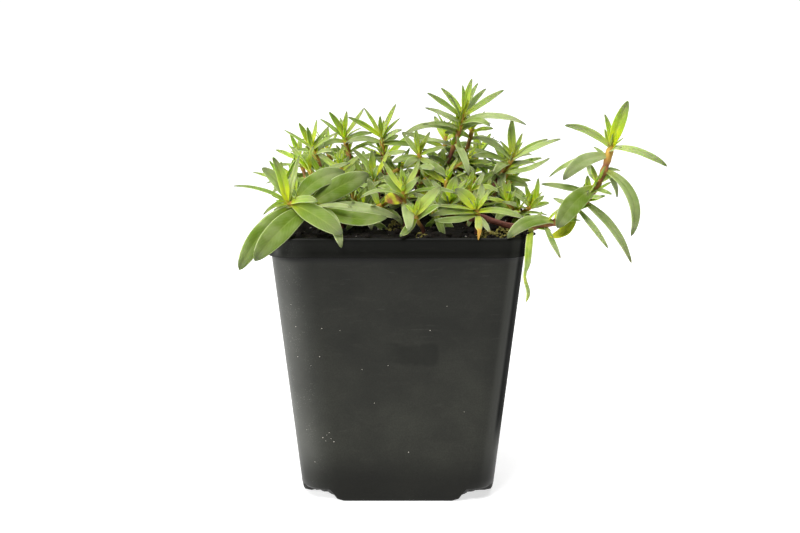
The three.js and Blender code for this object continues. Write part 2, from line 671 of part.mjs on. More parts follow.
// The leaves of a rosette: crossed pairs, upright at the tip and spreading below it.
function rosetteLeaves(line, turn, pairs, size, seed) {
  const random = seededNumbers(seed);
  const spread = (amount) => amount * (2 * random() - 1);
  const leaves = [];
  ROSETTE.slice(0, pairs).forEach(([back, pitch, droop, longer, wider], pair) => {
    for (const opposite of [0, 180]) {
      const { base, along } = pointFromTip(line, back * size + spread(0.3));
      const axis = along.clone().addScaledVector(UP, 0.5).normalize();
      const side = ALONG_X.clone().addScaledVector(axis, -axis.x).normalize();
      const front = new THREE.Vector3().crossVectors(axis, side);
      const angle = radians(turn + 90 * pair + opposite + spread(14));
      const lean = radians(pitch + spread(8));
      const way = axis.multiplyScalar(Math.sin(lean))
        .addScaledVector(side, Math.cos(lean) * Math.cos(angle))
        .addScaledVector(front, Math.cos(lean) * Math.sin(angle));
      const bend = bendOf(droop + spread(10));
      const heading = Math.atan2(way.y, way.x);
      const rise = Math.asin(way.z);
      leaves.push({
        base,
        heading,
        rise,
        droop: bend,
        length: ROSETTE_LENGTH * size * longer * (1 + spread(0.12)),
        width: ROSETTE_WIDTH * (0.35 + 0.65 * size) * wider * (1 + spread(0.1)),
        roll: turnedRoll(heading, rise - bend / 2, ROSETTE_TURNED + spread(0.3)),
      });
    }
  });
  return leaves;
}

function bentLeaf(leaf, [lift, swing, share]) {
  return {
    ...leaf,
    rise: leaf.rise + radians(lift),
    heading: leaf.heading + radians(swing),
    length: leaf.length * share,
  };
}

// A leaf's directions where it rises at the given angle: ahead on the level, to its side,
// and out of its upper face, before any roll.
function axesOf(heading, rise) {
  const ahead = new THREE.Vector3(Math.cos(heading), Math.sin(heading), 0);
  const level = new THREE.Vector3().crossVectors(UP, ahead);
  const back = UP.clone().multiplyScalar(Math.cos(rise)).addScaledVector(ahead, -Math.sin(rise));
  return { ahead, level, back };
}

// A leaf's blade: a folded, pointed strip along a circular arc, thickest at its midrib.
// With an `extra` it is that much thicker and wider on every side.
function bladeSolid(leaf, extra = 0) {
  let outline = MIDDLE_BLADE;
  if (leaf.length < SHORT_LENGTH) outline = SHORT_BLADE;
  if (leaf.length > LONG_LENGTH && leaf.droop > radians(LONG_DROOP)) outline = LONG_BLADE;
  const arc = leaf.length / leaf.droop;
  const place = (share) => {
    const rise = leaf.rise - leaf.droop * share;
    const { ahead, level, back } = axesOf(leaf.heading, rise);
    const centre = leaf.base.clone()
      .addScaledVector(ahead, arc * (Math.sin(leaf.rise) - Math.sin(rise)))
      .addScaledVector(UP, arc * (Math.cos(rise) - Math.cos(leaf.rise)));
    const side = level.clone().multiplyScalar(Math.cos(leaf.roll))
      .addScaledVector(back, Math.sin(leaf.roll));
    const face = back.multiplyScalar(Math.cos(leaf.roll))
      .addScaledVector(level, -Math.sin(leaf.roll));
    return { centre, side, face };
  };
  const rings = outline.map(([share, wide]) => {
    const { centre, side, face } = place(share);
    const half = Math.max(NECK_WIDTH, wide * leaf.width) / 2 + extra;
    const thick = BLADE_THICKNESS / 2 + extra;
    const fold = BLADE_FOLD * half;
    return [
      centre.clone().addScaledVector(side, half).addScaledVector(face, fold),
      centre.clone().addScaledVector(face, thick),
      centre.clone().addScaledVector(side, -half).addScaledVector(face, fold),
      centre.clone().addScaledVector(face, -thick),
    ];
  });
  return loft([...rings, [place(1 + extra / leaf.length).centre]]);
}

// The largest body of a solid: its sealed hollows are filled and loose scraps dropped.
function wholeBody(solid) {
  return solid.decompose().reduce((largest, body) => {
    return body.volume() > largest.volume() ? body : largest;
  });
}

function boxesMeet(a, b) {
  return [0, 1, 2].every((axis) => a.min[axis] < b.max[axis] && b.min[axis] < a.max[axis]);
}

// Whether a solid with the given box meets any of the obstacles.
function meetsAny(solid, obstacles) {
  const box = solid.boundingBox();
  return obstacles.some((obstacle) => {
    return boxesMeet(box, obstacle.box) && !solid.intersect(obstacle.solid).isEmpty();
  });
}

function buildShoots() {
  const drawn = DRAWN_SHOOTS.map(({ name, radius, path, leaves }) => {
    const line = smoothLine(path);
    return { name, radius, line, leaves: leaves.map((leaf) => drawnLeaf(line, leaf)) };
  });
  const ruled = ROSETTE_SHOOTS.map(([name, [rx, ry], [tx, ty, tz], turn, pairs, size, seed]) => {
    const ground = soilHeight(rx, ry);
    const line = smoothLine([
      [rx, ry, ground - STEM_DEPTH],
      [rx, ry, ground],
      [rx + 0.45 * (tx - rx), ry + 0.45 * (ty - ry), ground + 0.45 * (tz - ground)],
      [tx, ty, tz],
    ]);
    const leaves = rosetteLeaves(line, turn, pairs, size, seed);
    return { name, radius: STEM_RADIUS, line, leaves };
  });
  return [...drawn, ...ruled];
}

const shoots = buildShoots();
const pot = buildPot();
const soil = buildSoil(shoots.map(({ line, radius }) => stemSolid(line, radius, CLEAR + 0.05)));

// Every stem stands before the first leaf is set, and each leaf then keeps clear of the pot,
// the soil and whatever other shoots hold.
const obstacleOf = (solid, owner) => ({ solid, owner, box: solid.boundingBox() });
const obstacles = [obstacleOf(pot, "pot"), obstacleOf(soil, "soil")];
for (const shoot of shoots) {
  shoot.solid = stemSolid(shoot.line, shoot.radius);
  obstacles.push(obstacleOf(shoot.solid, shoot.name));
}
for (const shoot of shoots) {
  const others = obstacles.filter(({ owner }) => owner !== shoot.name);
  for (const leaf of shoot.leaves) {
    const bend = BENDS.find((bend) => !meetsAny(bladeSolid(bentLeaf(leaf, bend), CLEAR), others));
    if (!bend) continue;
    const blade = bladeSolid(bentLeaf(leaf, bend));
    obstacles.push(obstacleOf(blade, shoot.name));
    shoot.solid = shoot.solid.add(blade);
  }
}

const plant = new THREE.Group();
plant.add(meshOf(pot, "pot", MATERIALS.pot));
plant.add(meshOf(soil, "soil", MATERIALS.soil));
for (const shoot of shoots) {
  plant.add(meshOf(wholeBody(shoot.solid), shoot.name, MATERIALS.leaf));
}

export default plant;
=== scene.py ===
"""A young creeping gypsophila in its square nursery pot, dressed for the render.

Every size here is in millimetres, in the frame of the CAD model, until a mesh is made.
"""

import functools
import math

import bmesh
import bpy
import numpy as np
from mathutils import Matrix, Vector, noise


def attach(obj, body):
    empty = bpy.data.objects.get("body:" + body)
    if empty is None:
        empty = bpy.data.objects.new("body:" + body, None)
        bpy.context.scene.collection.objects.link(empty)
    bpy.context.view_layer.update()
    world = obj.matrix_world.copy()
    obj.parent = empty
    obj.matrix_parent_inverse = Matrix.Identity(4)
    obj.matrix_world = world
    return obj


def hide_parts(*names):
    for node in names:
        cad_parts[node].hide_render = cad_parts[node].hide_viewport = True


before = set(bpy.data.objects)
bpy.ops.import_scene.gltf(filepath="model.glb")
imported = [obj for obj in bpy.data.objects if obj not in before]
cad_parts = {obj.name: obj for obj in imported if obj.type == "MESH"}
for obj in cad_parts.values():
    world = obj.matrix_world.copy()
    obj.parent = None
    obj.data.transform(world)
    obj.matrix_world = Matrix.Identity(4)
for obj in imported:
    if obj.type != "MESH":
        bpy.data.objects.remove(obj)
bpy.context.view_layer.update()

MM = 0.001
UP = np.array([0.0, 0.0, 1.0])
ALONG_X = np.array([1.0, 0.0, 0.0])
FRONT = np.array([0.0, -0.98, 0.2])

# About a full turn in radians, for waves and for what lies any way round by chance.
FULL_TURN = 6.28

# The camera, fitted to the pot's corners in the photograph.
CAMERA_TARGET = (0.7, 0, 75.7)
CAMERA_DISTANCE = 765
CAMERA_RISE = 12
CAMERA_LENS = 97.9
CAMERA_SENSOR = 36

# The lamps: place, size and power in watts. The sky is brighter at the left than at the
# right, and the floor glows, less near the pot than far from it.
LAMPS = {
    "key": ((-350, -900, 1200), (600, 600), 20),
    "top": ((250, 200, 1500), (1100, 1100), 21),
    "left": ((-1250, -300, 280), (500, 900), 25),
}
LAMPS_TARGET = (0, 0, 80)
SKY_LEFT = 0.14
SKY_RIGHT = 0.07
FLOOR_HALF = 6000
FLOOR_GLOW = (0.7, 0.9)
FLOOR_GLOW_GROWS = (300, 1500)
VIEW_GAMMA = 0.93

# The pot, as in the CAD model, with finer edges. The profiles of its foot and its rim are
# insets and heights. Its flat parts have rings at shares of their width, and its wall has
# them at shares of its height.
POT_HEIGHT = 94.4
RIM_HALF = 43.6
RIM_CORNER = 8
RIM_PROFILE = [
    (0.35, 87.6), (0.08, 87.75), (0, 88.2), (0.25, 89.4), (0.33, 91), (0.22, 92.8),
    (0.15, 93.6), (0.3, 94.1), (0.75, POT_HEIGHT),
]
SHOULDER_Z = 87.6
SHOULDER_HALF = 42.5
FOOT_HALF = 32.7
FOOT_PROFILE = [(0.9, 0), (0.35, 0.1), (0.08, 0.4)]
POT_TAPER = (SHOULDER_HALF - FOOT_HALF) / SHOULDER_Z
BODY_CORNER = 9.5
POT_WALL = 1.2
POT_FLOOR_EDGE_Z = 5
RAISED_FROM = 20
RAISED_TO = 23.2
RAISED_HEIGHT = 3.8
RAISED_ROUND = 3.2
RAISED_ROUND_WIDTH = 5
DRAIN_AT = 27.2
DRAIN_RADIUS = 2.2
DRAIN_CUT = 12
DRAIN_SIDES = 32
SHARP_ANGLE = 50
CORNER_STEPS = 12
FLAT_STEPS = 20
FLAT_SHARES = (0.04, 0.2, 0.35, 0.5, 0.6, 0.66, 0.72, 0.78, 0.84, 0.9)
WALL_SHARES = (0, 0.03, 0.1, 0.25, 0.4, 0.55, 0.7, 0.85, 0.97)

# The soil, as in the CAD model, its finer relief, and how many crumbs and grains lie on it.
# The relief's two layers each have a size, a place in the noise, a roughness, a number of
# octaves and a height.
CLEAR = 0.3
SOIL_EDGE_Z = 91.5
SOIL_CROWN = 3.6
SOIL_LUMPS = 0.8
SOIL_CLODS = 0.5
SOIL_CORNER = 7
SOIL_WIDTH = 84
SOIL_TOP_RINGS = 62
SOIL_RELIEF = [(5.5, 3, 0.7, 5, 0.75), (1.7, 9, 0.8, 3, 0.35)]
CRUMBS = 900
RIM_CRUMBS = 46
CORNER_CRUMBS = 20
GRIT = 150
RIM_INSIDE = 42.1

# The stems, which swell at their nodes, where the leaves grow, and narrow to their end.
STEM_TIP_RADIUS = 0.75
TRAILING_TIP_RADIUS = 1.2
ROSETTE_STEM = 0.76
SIDE_STEM = 0.6
STEM_DEPTH = 7
STEM_SIDES = 14
STEM_STEPS = 2
STEM_FINE_STEPS = 10
STEM_END = 0.35
STEM_END_LENGTH = 1.5
STEM_GROWN_AT = 14
BETWEEN_NODES = 0.86
NODE_SWELLING = 0.28
NODE_LENGTH = 0.9

# A leaf's grid: the places across it where its surface has points, and the steps along it.
FINE_GRID = ([-1, -0.9, -0.66, -0.38, -0.14, 0, 0.14, 0.38, 0.66, 0.9, 1], 20)
PLAIN_GRID = ([-1, -0.7, -0.3, 0, 0.3, 0.7, 1], 9)

# A blade's thickness and its midrib, then how it folds, curls down at its edges, waves,
# sways and twists, each by a share that differs from leaf to leaf.
BLADE_MIDDLE = 0.42
BLADE_EDGE = 0.15
THICK_FROM = 3.5
RIB = 0.22
RIB_HALF = 0.3
GROOVE = 0.1
FOLD = 0.3
FOLD_WHEN_OLD = -0.16
FOLD_SPREAD = 0.14
CURL = 0.1
CURL_WHEN_OLD = 0.16
WAVES = 1.2
WAVES_SPREAD = 1.5
WAVE_HEIGHT = 0.05
SWAY = 0.05
TWIST = 0.5

# A blade's outline: its width at shares of its length. It changes from the narrow one to
# the broad one between two widths. Broad leaves have a tone of their own, and narrow ones
# are slimmer than their solids.
BROAD_OUTLINE = [
    (0, 0.28), (0.06, 0.36), (0.16, 0.62), (0.3, 0.87), (0.45, 0.98), (0.6, 1), (0.74, 0.89),
    (0.85, 0.7), (0.93, 0.47), (0.975, 0.27), (1, 0.05),
]
NARROW_OUTLINE = [
    (0, 0.5), (0.06, 0.58), (0.16, 0.76), (0.3, 0.94), (0.42, 1), (0.56, 0.97), (0.7, 0.85),
    (0.83, 0.64), (0.92, 0.42), (0.975, 0.24), (1, 0.04),
]
BROAD_FROM = 3.4
BROAD_TO = 5.5
BROAD_TONE = -0.85
BROAD_TONE_SPREAD = 0.15
SLIM = 0.86
SLIM_TO = 4.4

# The hanging leaf, whose end is thin and wavy, and the withering one, whose end shrank.
THIN_END_OUTLINE = [
    (0, 0.6), (0.06, 0.7), (0.16, 0.88), (0.3, 1), (0.45, 1), (0.57, 0.88), (0.64, 0.6),
    (0.69, 0.44), (0.76, 0.5), (0.85, 0.58), (0.93, 0.48), (0.975, 0.3), (1, 0.05),
]
THIN_END_FROM = 0.6
THIN_END_WAVE = 0.6
THIN_END_WIDER = 1.2
THIN_END_TONE = (-0.8, 1.8)
THIN_END_AGED = 0.55
SHRUNKEN = 0.3
SHRUNKEN_BETWEEN = (0.6, 0.74)

# The age of a drawn leaf at the shoot's tip, and about how far from it leaves are grown.
AGE_AT_TIP = 0.12
GROWN_AT = 3.2

# The rosettes' pairs of leaves, as in the CAD model, with their age from 0 to 1 at the end.
ROSETTE = [
    (0.6, 66, 0, 0.64, 0.62, 0.0),
    (2.2, 43, 14, 0.86, 0.82, 0.22),
    (5, 25, 32, 1, 0.95, 0.6),
    (9.5, 9, 42, 1.05, 1.05, 0.85),
    (14.5, -3, 45, 0.95, 1.05, 1.0),
    (20, -8, 40, 0.85, 1, 1.0),
]
ROSETTE_LENGTH = 16
ROSETTE_WIDTH = 3.6
ROSETTE_TURNED = 0.35
ROSETTE_UPRIGHT = 0.5
ROSETTE_SPREADS = {
    "back": 0.3, "turn": 14, "pitch": 8, "droop": 10, "length": 0.12, "width": 0.1,
    "turned": 0.3,
}

# How a leaf may be bent clear of its neighbours, as in the CAD model: lift and swing in
# degrees and the share of its length. The one that its solid has is found by its tip.
BENDS = [
    (0, 0, 1), (12, 0, 1), (-12, 0, 1), (0, 15, 1), (0, -15, 1), (12, 15, 1), (12, -15, 1),
    (-12, 15, 1), (-12, -15, 1), (24, 0, 1), (-24, 0, 1), (0, 30, 1), (0, -30, 1),
    (24, 25, 0.9), (24, -25, 0.9), (-24, 25, 0.9), (-24, -25, 0.9), (36, 0, 0.85),
    (40, 20, 0.8), (40, -20, 0.8), (0, 0, 0.75), (20, 0, 0.7), (-20, 0, 0.7),
    (50, 0, 0.65), (0, 0, 0.55),
]
TIP_MATCH = 0.03

# The shoots that the photograph shows leaf by leaf: the stem's radius, its points from the
# soil to the tip, and its leaves. A leaf is its distance from the shoot's tip, its own tip's
# x, y and z, its width, its droop in degrees, how far it is turned to the front, and where
# it differs from its neighbours a look.
DRAWN_SHOOTS = {
    "trailing_right": (1.15, [
        (23.5, -22.5, 88), (24, -22.7, 95), (27.4, -25, 98.2), (32, -27.6, 97.2),
        (37.5, -31, 96.3), (43.5, -34, 96.2), (48.5, -33.5, 97), (52.9, -32, 97.7),
        (57, -29.5, 99.4), (61.5, -27.5, 102.4), (66, -26, 107.5), (69.5, -24.5, 114),
        (71.8, -23, 122),
    ], [
        (0, 77.1, -24, 137.5, 4.3, 6, 1),
        (0, 69.7, -20, 132.5, 2.4, 0, 0.7),
        (0.6, 55.8, -26, 129.5, 3.6, 42, 0.6),
        (0.6, 90.5, -26, 115.6, 3.6, 55, 0.5),
        (2, 74.3, -33, 123, 3.2, 20, 0.3),
        (3.2, 55.2, -31, 111.9, 4.6, 42, 0.8),
        (3.2, 51.8, -12, 109.6, 2.8, 45, 0.6),
        (5, 66.7, -14, 120.4, 1.8, 10, 0.4),
        (8.4, 78.5, -30, 92.6, 4, 95, 0.7),
        (8.4, 75.8, -18, 112.7, 2.6, 30, 0.3),
        (9, 74.3, -22, 104.3, 3.4, 60, 0.5),
        (14.5, 52.8, -40, 97.3, 6.6, 26, 0.85),
        (13, 64.8, -12, 115.2, 2.6, -10, 0.5),
        (15.5, 71.4, -33, 107.3, 2.4, 15, 0.4),
        (17.5, 47.9, -30, 110.3, 2.8, 30, 0.6),
        (19, 67.9, -37, 107, 2.2, 10, 0.5, "dry_tip"),
        (21, 78.7, -31, 83.5, 3.6, 22, 0.7, "dry_tip"),
        (24.5, 70.3, -35, 89.4, 2.6, 15, 0.6, "dry_tip"),
        (25.5, 50.6, -38, 93.8, 4, -55, 0.6, "yellowing"),
        (25.5, 53, -18, 103.4, 2.6, 20, 0.3),
        (31, 53.8, -36, 99.6, 4.2, 42, 0.6),
        (34, 36.1, -44, 94.6, 4.6, 70, 0.6),
        (38, 53.9, -42, 87.4, 2.4, 30, 0.5, "dry_tip"),
        (42.5, 42.3, -48.5, 74, 2, 112, 0.6, "thin_end"),
    ]),
    "front_left": (1, [
        (-18, -25, 88), (-18.5, -25.5, 95), (-22, -28, 100.5), (-28, -31, 102.6),
        (-37, -36, 105),
    ], [
        (0, -41.3, -38, 120.8, 3.8, 8, 1),
        (0, -38.9, -33, 118.6, 2.4, -6, 0.6),
        (0.6, -32.9, -30, 120.1, 2.2, 35, 0.5),
        (1.2, -54.6, -38, 111, 2.6, 42, 0.3),
        (1.8, -45.4, -30, 115.8, 4.4, 25, 0.8),
        (1.4, -26.3, -43, 106.6, 3.4, 35, 0.6),
        (1.8, -18.4, -46, 96.1, 7, 30, 0.75),
        (4, -52.5, -41, 84.6, 5.4, 60, 0.7),
        (5, -52, -50.5, 85.3, 6.6, 36, 0.8),
        (3, -17.9, -22, 113.1, 6.8, 40, 0.55),
        (7, -43.4, -20, 110.7, 3, 25, 0.3),
        (9.5, -46.8, -51, 88.4, 8, 50, 0.7),
        (8.5, -9.8, -24, 112.7, 7.4, 22, 0.8),
        (11, -3.5, -41, 101, 5.8, -52, 0.6),
        (12, -18.6, -46.8, 91.9, 4.2, 75, 0.5),
        (13, 0.4, -33, 99, 4.4, 18, 0.5),
        (10.5, -15.2, -40, 104.3, 2.6, 20, 0.4),
        (14, -28, -14, 104, 3.4, 30, 0.2),
    ]),
    "front_middle": (0.9, [
        (2.6, -27, 88), (2.6, -27.6, 95), (2.2, -31, 102), (1.7, -34, 109),
    ], [
        (0, 1, -35.5, 117, 2.2, 0, 1),
        (0.3, -5, -30, 118.1, 2.2, -6, 0.7),
        (0.3, 7.4, -30, 119.1, 2.2, -6, 0.7),
        (1.2, -4.7, -30, 113, 4, 25, 0.8),
        (1.2, 6.7, -38, 113.4, 3.4, 15, 0.7),
        (2.2, 4.7, -24, 113.4, 2.8, 20, 0.3),
        (2.6, -12.5, -41, 107.5, 2.2, 56, 0.35),
        (2.6, 20, -36, 108, 2.4, 45, 0.35),
        (4.4, -4.2, -42, 106.7, 4.6, 20, 0.6, "red"),
        (5.4, 3.7, -44.6, 97, 4, 42, 0.6),
        (5.4, -5.7, -21, 106.7, 3, 30, 0.3),
    ]),
    "front_low": (0.8, [
        (8.5, -34, 88), (8.5, -34.3, 95), (6.8, -36, 98.4), (5.4, -38, 101.6),
    ], [
        (0, 6, -38, 108, 2, 0, 0.8),
        (0.4, 16, -36, 108.5, 4.4, -10, 0.6),
        (0.6, 4.4, -33, 105.8, 1.8, 0, 0.5),
        (2.6, 14.2, -43, 105.6, 3.2, 15, 0.6),
        (1.6, 1.4, -44.8, 93.6, 3.4, -38, 0.6),
    ]),
    "front_right": (1, [
        (26.5, -30, 88), (26.6, -30.6, 95), (26.8, -32, 98.8), (26.2, -34, 102.6),
    ], [
        (0, 19.1, -32, 109, 4.6, 8, 0.8),
        (0, 30.6, -37, 109.5, 2.4, -25, 0.6),
        (0.4, 28.3, -27, 109.8, 3.2, 5, 0.7),
        (0.6, 12.3, -37, 104.1, 2.4, 20, 0.3),
        (1.2, 10.7, -39, 101.1, 3.6, 15, 0.6),
        (1.2, 42.2, -38, 99.9, 3.4, 30, 0.5),
        (2.2, 11.9, -43.5, 100.6, 3.2, -30, 0.55),
        (2.8, 26.1, -45.4, 94.3, 3, 45, 0.6, "withering"),
        (3.2, 30.6, -40, 95.6, 2.6, 25, 0.4, "dry_tip"),
        (0.2, 25.8, -30, 108.3, 1.8, 0, 0.6),
    ]),
    "tallest": (1, [
        (13, 2.6, 88), (13.2, 2.7, 95), (14.6, 3.2, 103), (17, 4, 111), (20.4, 5, 120),
        (22.7, 6, 128.9),
    ], [
        (0, 25.8, 8, 141, 2.8, -5, 0.9),
        (0, 22.4, 4, 139.3, 2.2, 0, 0.8),
        (0.6, 28.1, 12, 139, 2.4, 5, 0.6),
        (0.6, 15.1, 10, 137.5, 2.8, 10, 0.7),
        (1.4, 10.1, 2, 136.8, 3.2, 20, 0.5),
        (1.4, 36.9, 6, 137.3, 3.2, 15, 0.5),
        (2.2, 31.1, 17, 136.4, 2.8, 10, 0.6),
        (2.2, 17.5, -4, 137, 2.6, 12, 0.5),
        (3, 9.3, -4, 132.4, 3.4, 25, 0.4),
        (3.2, 44.2, -4, 126.5, 3.8, 55, 0.4),
        (3.8, 31.6, -8, 126.7, 3.2, 40, 0.4),
        (4.6, 13, 19, 128, 3.4, 30, 0.2),
        (5, 8.6, -7, 127.1, 3.2, 35, 0.4),
        (6, 33, 17, 124, 3.4, 40, 0.3),
        (7, 1.7, -9, 123.5, 3.6, 50, 0.4),
        (10.5, 24.5, -6.5, 109, 3, 50, 0.9),
        (12, 6, 12, 118, 3, 40, 0.2),
    ]),
    "right": (0.9, [
        (30, -2, 88), (30.3, -1.8, 95), (33.4, 0, 104.5), (37.6, 2.4, 110), (40.4, 4, 114.4),
    ], [
        (0, 39.8, 5, 127.4, 3.4, 0, 0.9),
        (0.3, 43.7, 9, 121.7, 1.8, 5, 0.6),
        (0.3, 35.5, 2, 120, 2.2, 5, 0.6),
        (0.8, 52.3, 2, 120.7, 3, 14, 0.5),
        (0.8, 31.3, 14, 118.9, 3, 16, 0.5),
        (1.6, 56.2, -6, 121.9, 3.5, 14, 0.4),
        (1.4, 26.6, -3, 122.1, 3.4, 22, 0.6),
        (2, 48, 20, 112, 3.2, 35, 0.4),
        (3, 25.2, -7, 115.8, 3.2, 30, 0.45),
        (3.4, 25.6, 16, 115.3, 2.4, 25, 0.3),
        (3.2, 33, -10, 110.3, 3.2, 25, 0.5),
        (7, 52.3, -8, 115.6, 3.3, -36, 0.4),
        (6.6, 35.6, -8, 103.4, 3.2, 15, 0.6),
        (6, 50, 12, 110, 3.4, 45, 0.3),
    ]),
    "right_edge": (0.8, [
        (37, -17, 88), (37.2, -17, 94.5), (41.5, -18.4, 97.8), (45.6, -20, 101),
    ], [
        (0, 47.6, -21, 110.8, 2.4, -5, 0.8),
        (0, 43.1, -20, 108.6, 2.4, -5, 0.7),
        (0.6, 49.3, -26, 105.5, 3, 10, 0.6),
        (0.6, 47.1, -12, 105.6, 2.4, 0, 0.5),
        (1, 36.6, -22, 106.2, 2.8, 30, 0.4),
        (2, 35.1, -27, 103.7, 2.6, 15, 0.4),
        (2.4, 52, -12, 100.6, 3, 25, 0.3),
    ]),
    "back_left": (0.9, [
        (-13, 17, 88), (-13, 17, 95), (-15.9, 20.2, 105.7), (-19.4, 24, 118.4),
    ], [
        (0, -18.3, 24, 127.4, 2.2, 0, 0.8),
        (0.2, -24.6, 22, 127.4, 2.8, -6, 0.7),
        (0.4, -12.2, 26, 128.2, 2.2, -8, 0.5),
        (0.6, -20.9, 30, 124.1, 1.8, 0, 0.5),
        (0.8, -28, 26, 124.3, 2.4, 15, 0.4),
        (1.2, -13.1, 16, 122.3, 2.4, 25, 0.3),
        (2, -9.4, 30, 118.6, 3, 35, 0.4),
        (2.4, -27.9, 20, 114.3, 3, 60, 0.5),
        (2.8, -16.3, 12, 117.4, 2.6, 30, 0.4),
        (3.4, -20, 37, 116, 3.4, 40, 0.3),
        (6.5, -6, 18, 117, 3.4, 40, 0.3),
        (7, -28, 28, 112, 3.4, 40, 0.3),
    ]),
    "middle": (0.9, [
        (-4, 7, 88), (-4, 7, 95), (-4.8, 8.4, 106.5), (-5.8, 10, 120.2),
    ], [
        (0, -0.7, 10, 131.9, 2.2, -4, 0.7),
        (0.2, -17.5, 6, 127.8, 2.8, 6, 0.6),
        (0.2, -6.3, 9, 127.8, 2, 0, 0.8),
        (0.5, -12, 14, 129.9, 2, 4, 0.4),
        (0.6, 0.7, 14, 126.3, 1.8, 4, 0.4),
        (0.8, -3.5, 4, 128.5, 1.8, 0, 0.6),
        (1.8, 1.4, 4, 123.5, 3, 22, 0.5),
        (2.2, -18.2, 4, 119, 3.2, 50, 0.5),
        (2.4, 7.7, 8, 117.3, 3.4, 34, 0.4),
        (2.6, -16.4, 20, 120.1, 2.6, 40, 0.3),
        (3.4, 0, 22, 119, 3.2, 40, 0.3),
        (5.6, -11.1, 0, 119.3, 2.6, 20, 0.3),
        (7, 3.1, -2, 116.7, 3.2, 30, 0.4),
        (7, -14.3, 0, 113.6, 3.2, 30, 0.4),
    ]),
    "left_back": (0.9, [
        (-21, 10, 88), (-21, 10, 95), (-25.4, 11.8, 104.5), (-30.8, 14, 116.4),
    ], [
        (0, -35, 14, 124.6, 2.6, -4, 0.7),
        (0, -28.6, 14, 125.8, 2.2, 0, 0.6),
        (0.4, -32, 10, 123.7, 2.4, 0, 0.8),
        (0.8, -24.5, 18, 122.9, 2.4, 5, 0.4),
        (0.8, -40.5, 18, 121.5, 2, 8, 0.3),
        (1.6, -21.1, 8, 121.9, 2.8, 25, 0.4),
        (2.4, -39, 6, 105.5, 3, 70, 0.5),
        (2.4, -38.7, 22, 112.9, 2.6, 20, 0.3),
        (3.4, -22.4, 6, 115.5, 3, 40, 0.4),
        (3.6, -27, 25, 117, 3.2, 40, 0.3),
        (6, -34.2, 2, 111.5, 3, 40, 0.4),
    ]),
    "centre": (0.9, [
        (6, -1, 88), (6, -1, 95), (6.7, -0.1, 104.7), (7.5, 1, 116.3),
    ], [
        (0, 6.3, 2, 124.2, 2.4, 0, 0.7),
        (0, 11.1, -1, 123.6, 2.2, 0, 0.7),
        (0.4, 9.1, 6, 120.8, 1.8, 0, 0.6),
        (1.2, 1.4, 8, 121.9, 2.6, 10, 0.4),
        (1.2, 17, -3, 118.6, 3, 24, 0.4),
        (1.8, -2.1, -4, 115.3, 3.4, 40, 0.4),
        (2.2, 17.6, -10, 109, 3.6, 30, 0.5),
        (2.6, 2.1, -12, 112.8, 3.4, 45, 0.5),
        (5.4, 12.7, -12, 112.1, 3.4, 35, 0.5),
        (5.8, 12, 13, 112, 3.2, 40, 0.3),
    ]),
    "centre_front": (0.85, [
        (-5, -11, 88), (-5, -11, 95), (-6.4, -12.4, 101.8), (-8.2, -14, 109.6),
    ], [
        (0, -2.7, -14, 120.4, 2, -8, 0.6),
        (0, -8.9, -13, 119.2, 3, 0, 0.8),
        (0.6, -15.7, -15, 119.8, 2.8, 30, 0.6),
        (0.8, -6.8, -20, 115.1, 2, 0, 0.8),
        (1.6, -14.9, -20, 112, 3, 20, 0.4),
        (1.8, -1, -18, 109.6, 3, 30, 0.5),
        (3, -11.8, -24, 100.7, 3.4, 60, 0.5),
        (3.4, -1.7, -24, 105.9, 3, 45, 0.4),
        (4, -9, 0, 110, 3, 30, 0.3),
        (5, -18, -9, 106.8, 3.2, 30, 0.3),
    ]),
    "front_right_inner": (0.8, [
        (15, -19, 88), (15, -19, 95), (16.2, -20.8, 98.4), (17.6, -23, 102.6),
    ], [
        (0, 19.7, -21, 111.5, 4, 6, 0.8),
        (0, 14.2, -25, 107.7, 2.2, -5, 0.7),
        (0.5, 23.7, -24, 111, 2.2, 10, 0.5),
        (0.8, 11.3, -18, 109.6, 3, 14, 0.5),
        (1.4, 10.8, -28, 104.2, 2.8, 20, 0.4),
        (1.6, 22.9, -28, 105.5, 3, 20, 0.4),
        (2.4, 26.1, -14, 102, 3, 20, 0.3),
    ]),
    "centre_right": (0.8, [
        (25, -12, 88), (25, -12, 95), (24.8, -13.3, 100), (24.6, -15, 106),
    ], [
        (0, 26, -15, 112.6, 2, 0, 0.8),
        (0, 22.9, -14, 110.3, 1.8, 0, 0.6),
        (0.6, 34.8, -18, 105.1, 2.6, 55, 0.5),
        (0.8, 18.4, -18, 107.2, 2.8, 30, 0.4),
        (1.2, 29.7, -6, 110.4, 2.6, 0, 0.4),
        (1.6, 31.3, -21, 103.1, 2.8, 35, 0.4),
    ]),
}

# The other shoots: where they root, their tip, the heading of the first pair in degrees, how
# many pairs, their size, and the seed of their small differences.
ROSETTE_SHOOTS = {
    "front_left_inner": ((-10, -20), (-15.5, -25, 106.5), 20, 4, 0.7, 11),
    "left": ((-22, -6), (-31, -8, 112), 15, 6, 0.95, 17),
    "second_tallest": ((19, 11), (26.5, 15, 123), 40, 6, 0.85, 21),
    "back_right": ((13, 20), (17.5, 26.5, 118.5), 30, 6, 1, 22),
    "left_rear": ((-20, 25), (-26, 32, 113), 50, 5, 0.9, 23),
    "left_middle": ((-15, -2), (-20, -3, 112), 55, 6, 0.85, 24),
    "corner_back_left": ((-30, 24), (-36, 31, 110), 45, 5, 0.9, 25),
    "back": ((-4, 28), (-5, 36.5, 110), 85, 5, 0.95, 26),
    "corner_back_right": ((24, 28), (29, 36, 110), 20, 5, 0.95, 27),
    "right_rear": ((32, 17), (40, 22, 108.5), 65, 5, 0.9, 28),
    "left_edge": ((-32, 3), (-41, 4, 106), 75, 5, 0.85, 29),
    "centre_low": ((15, -7), (17, -9, 108.5), 60, 5, 0.85, 31),
    "left_low": ((-28, -17), (-35, -19, 104.5), 30, 4, 0.75, 32),
}

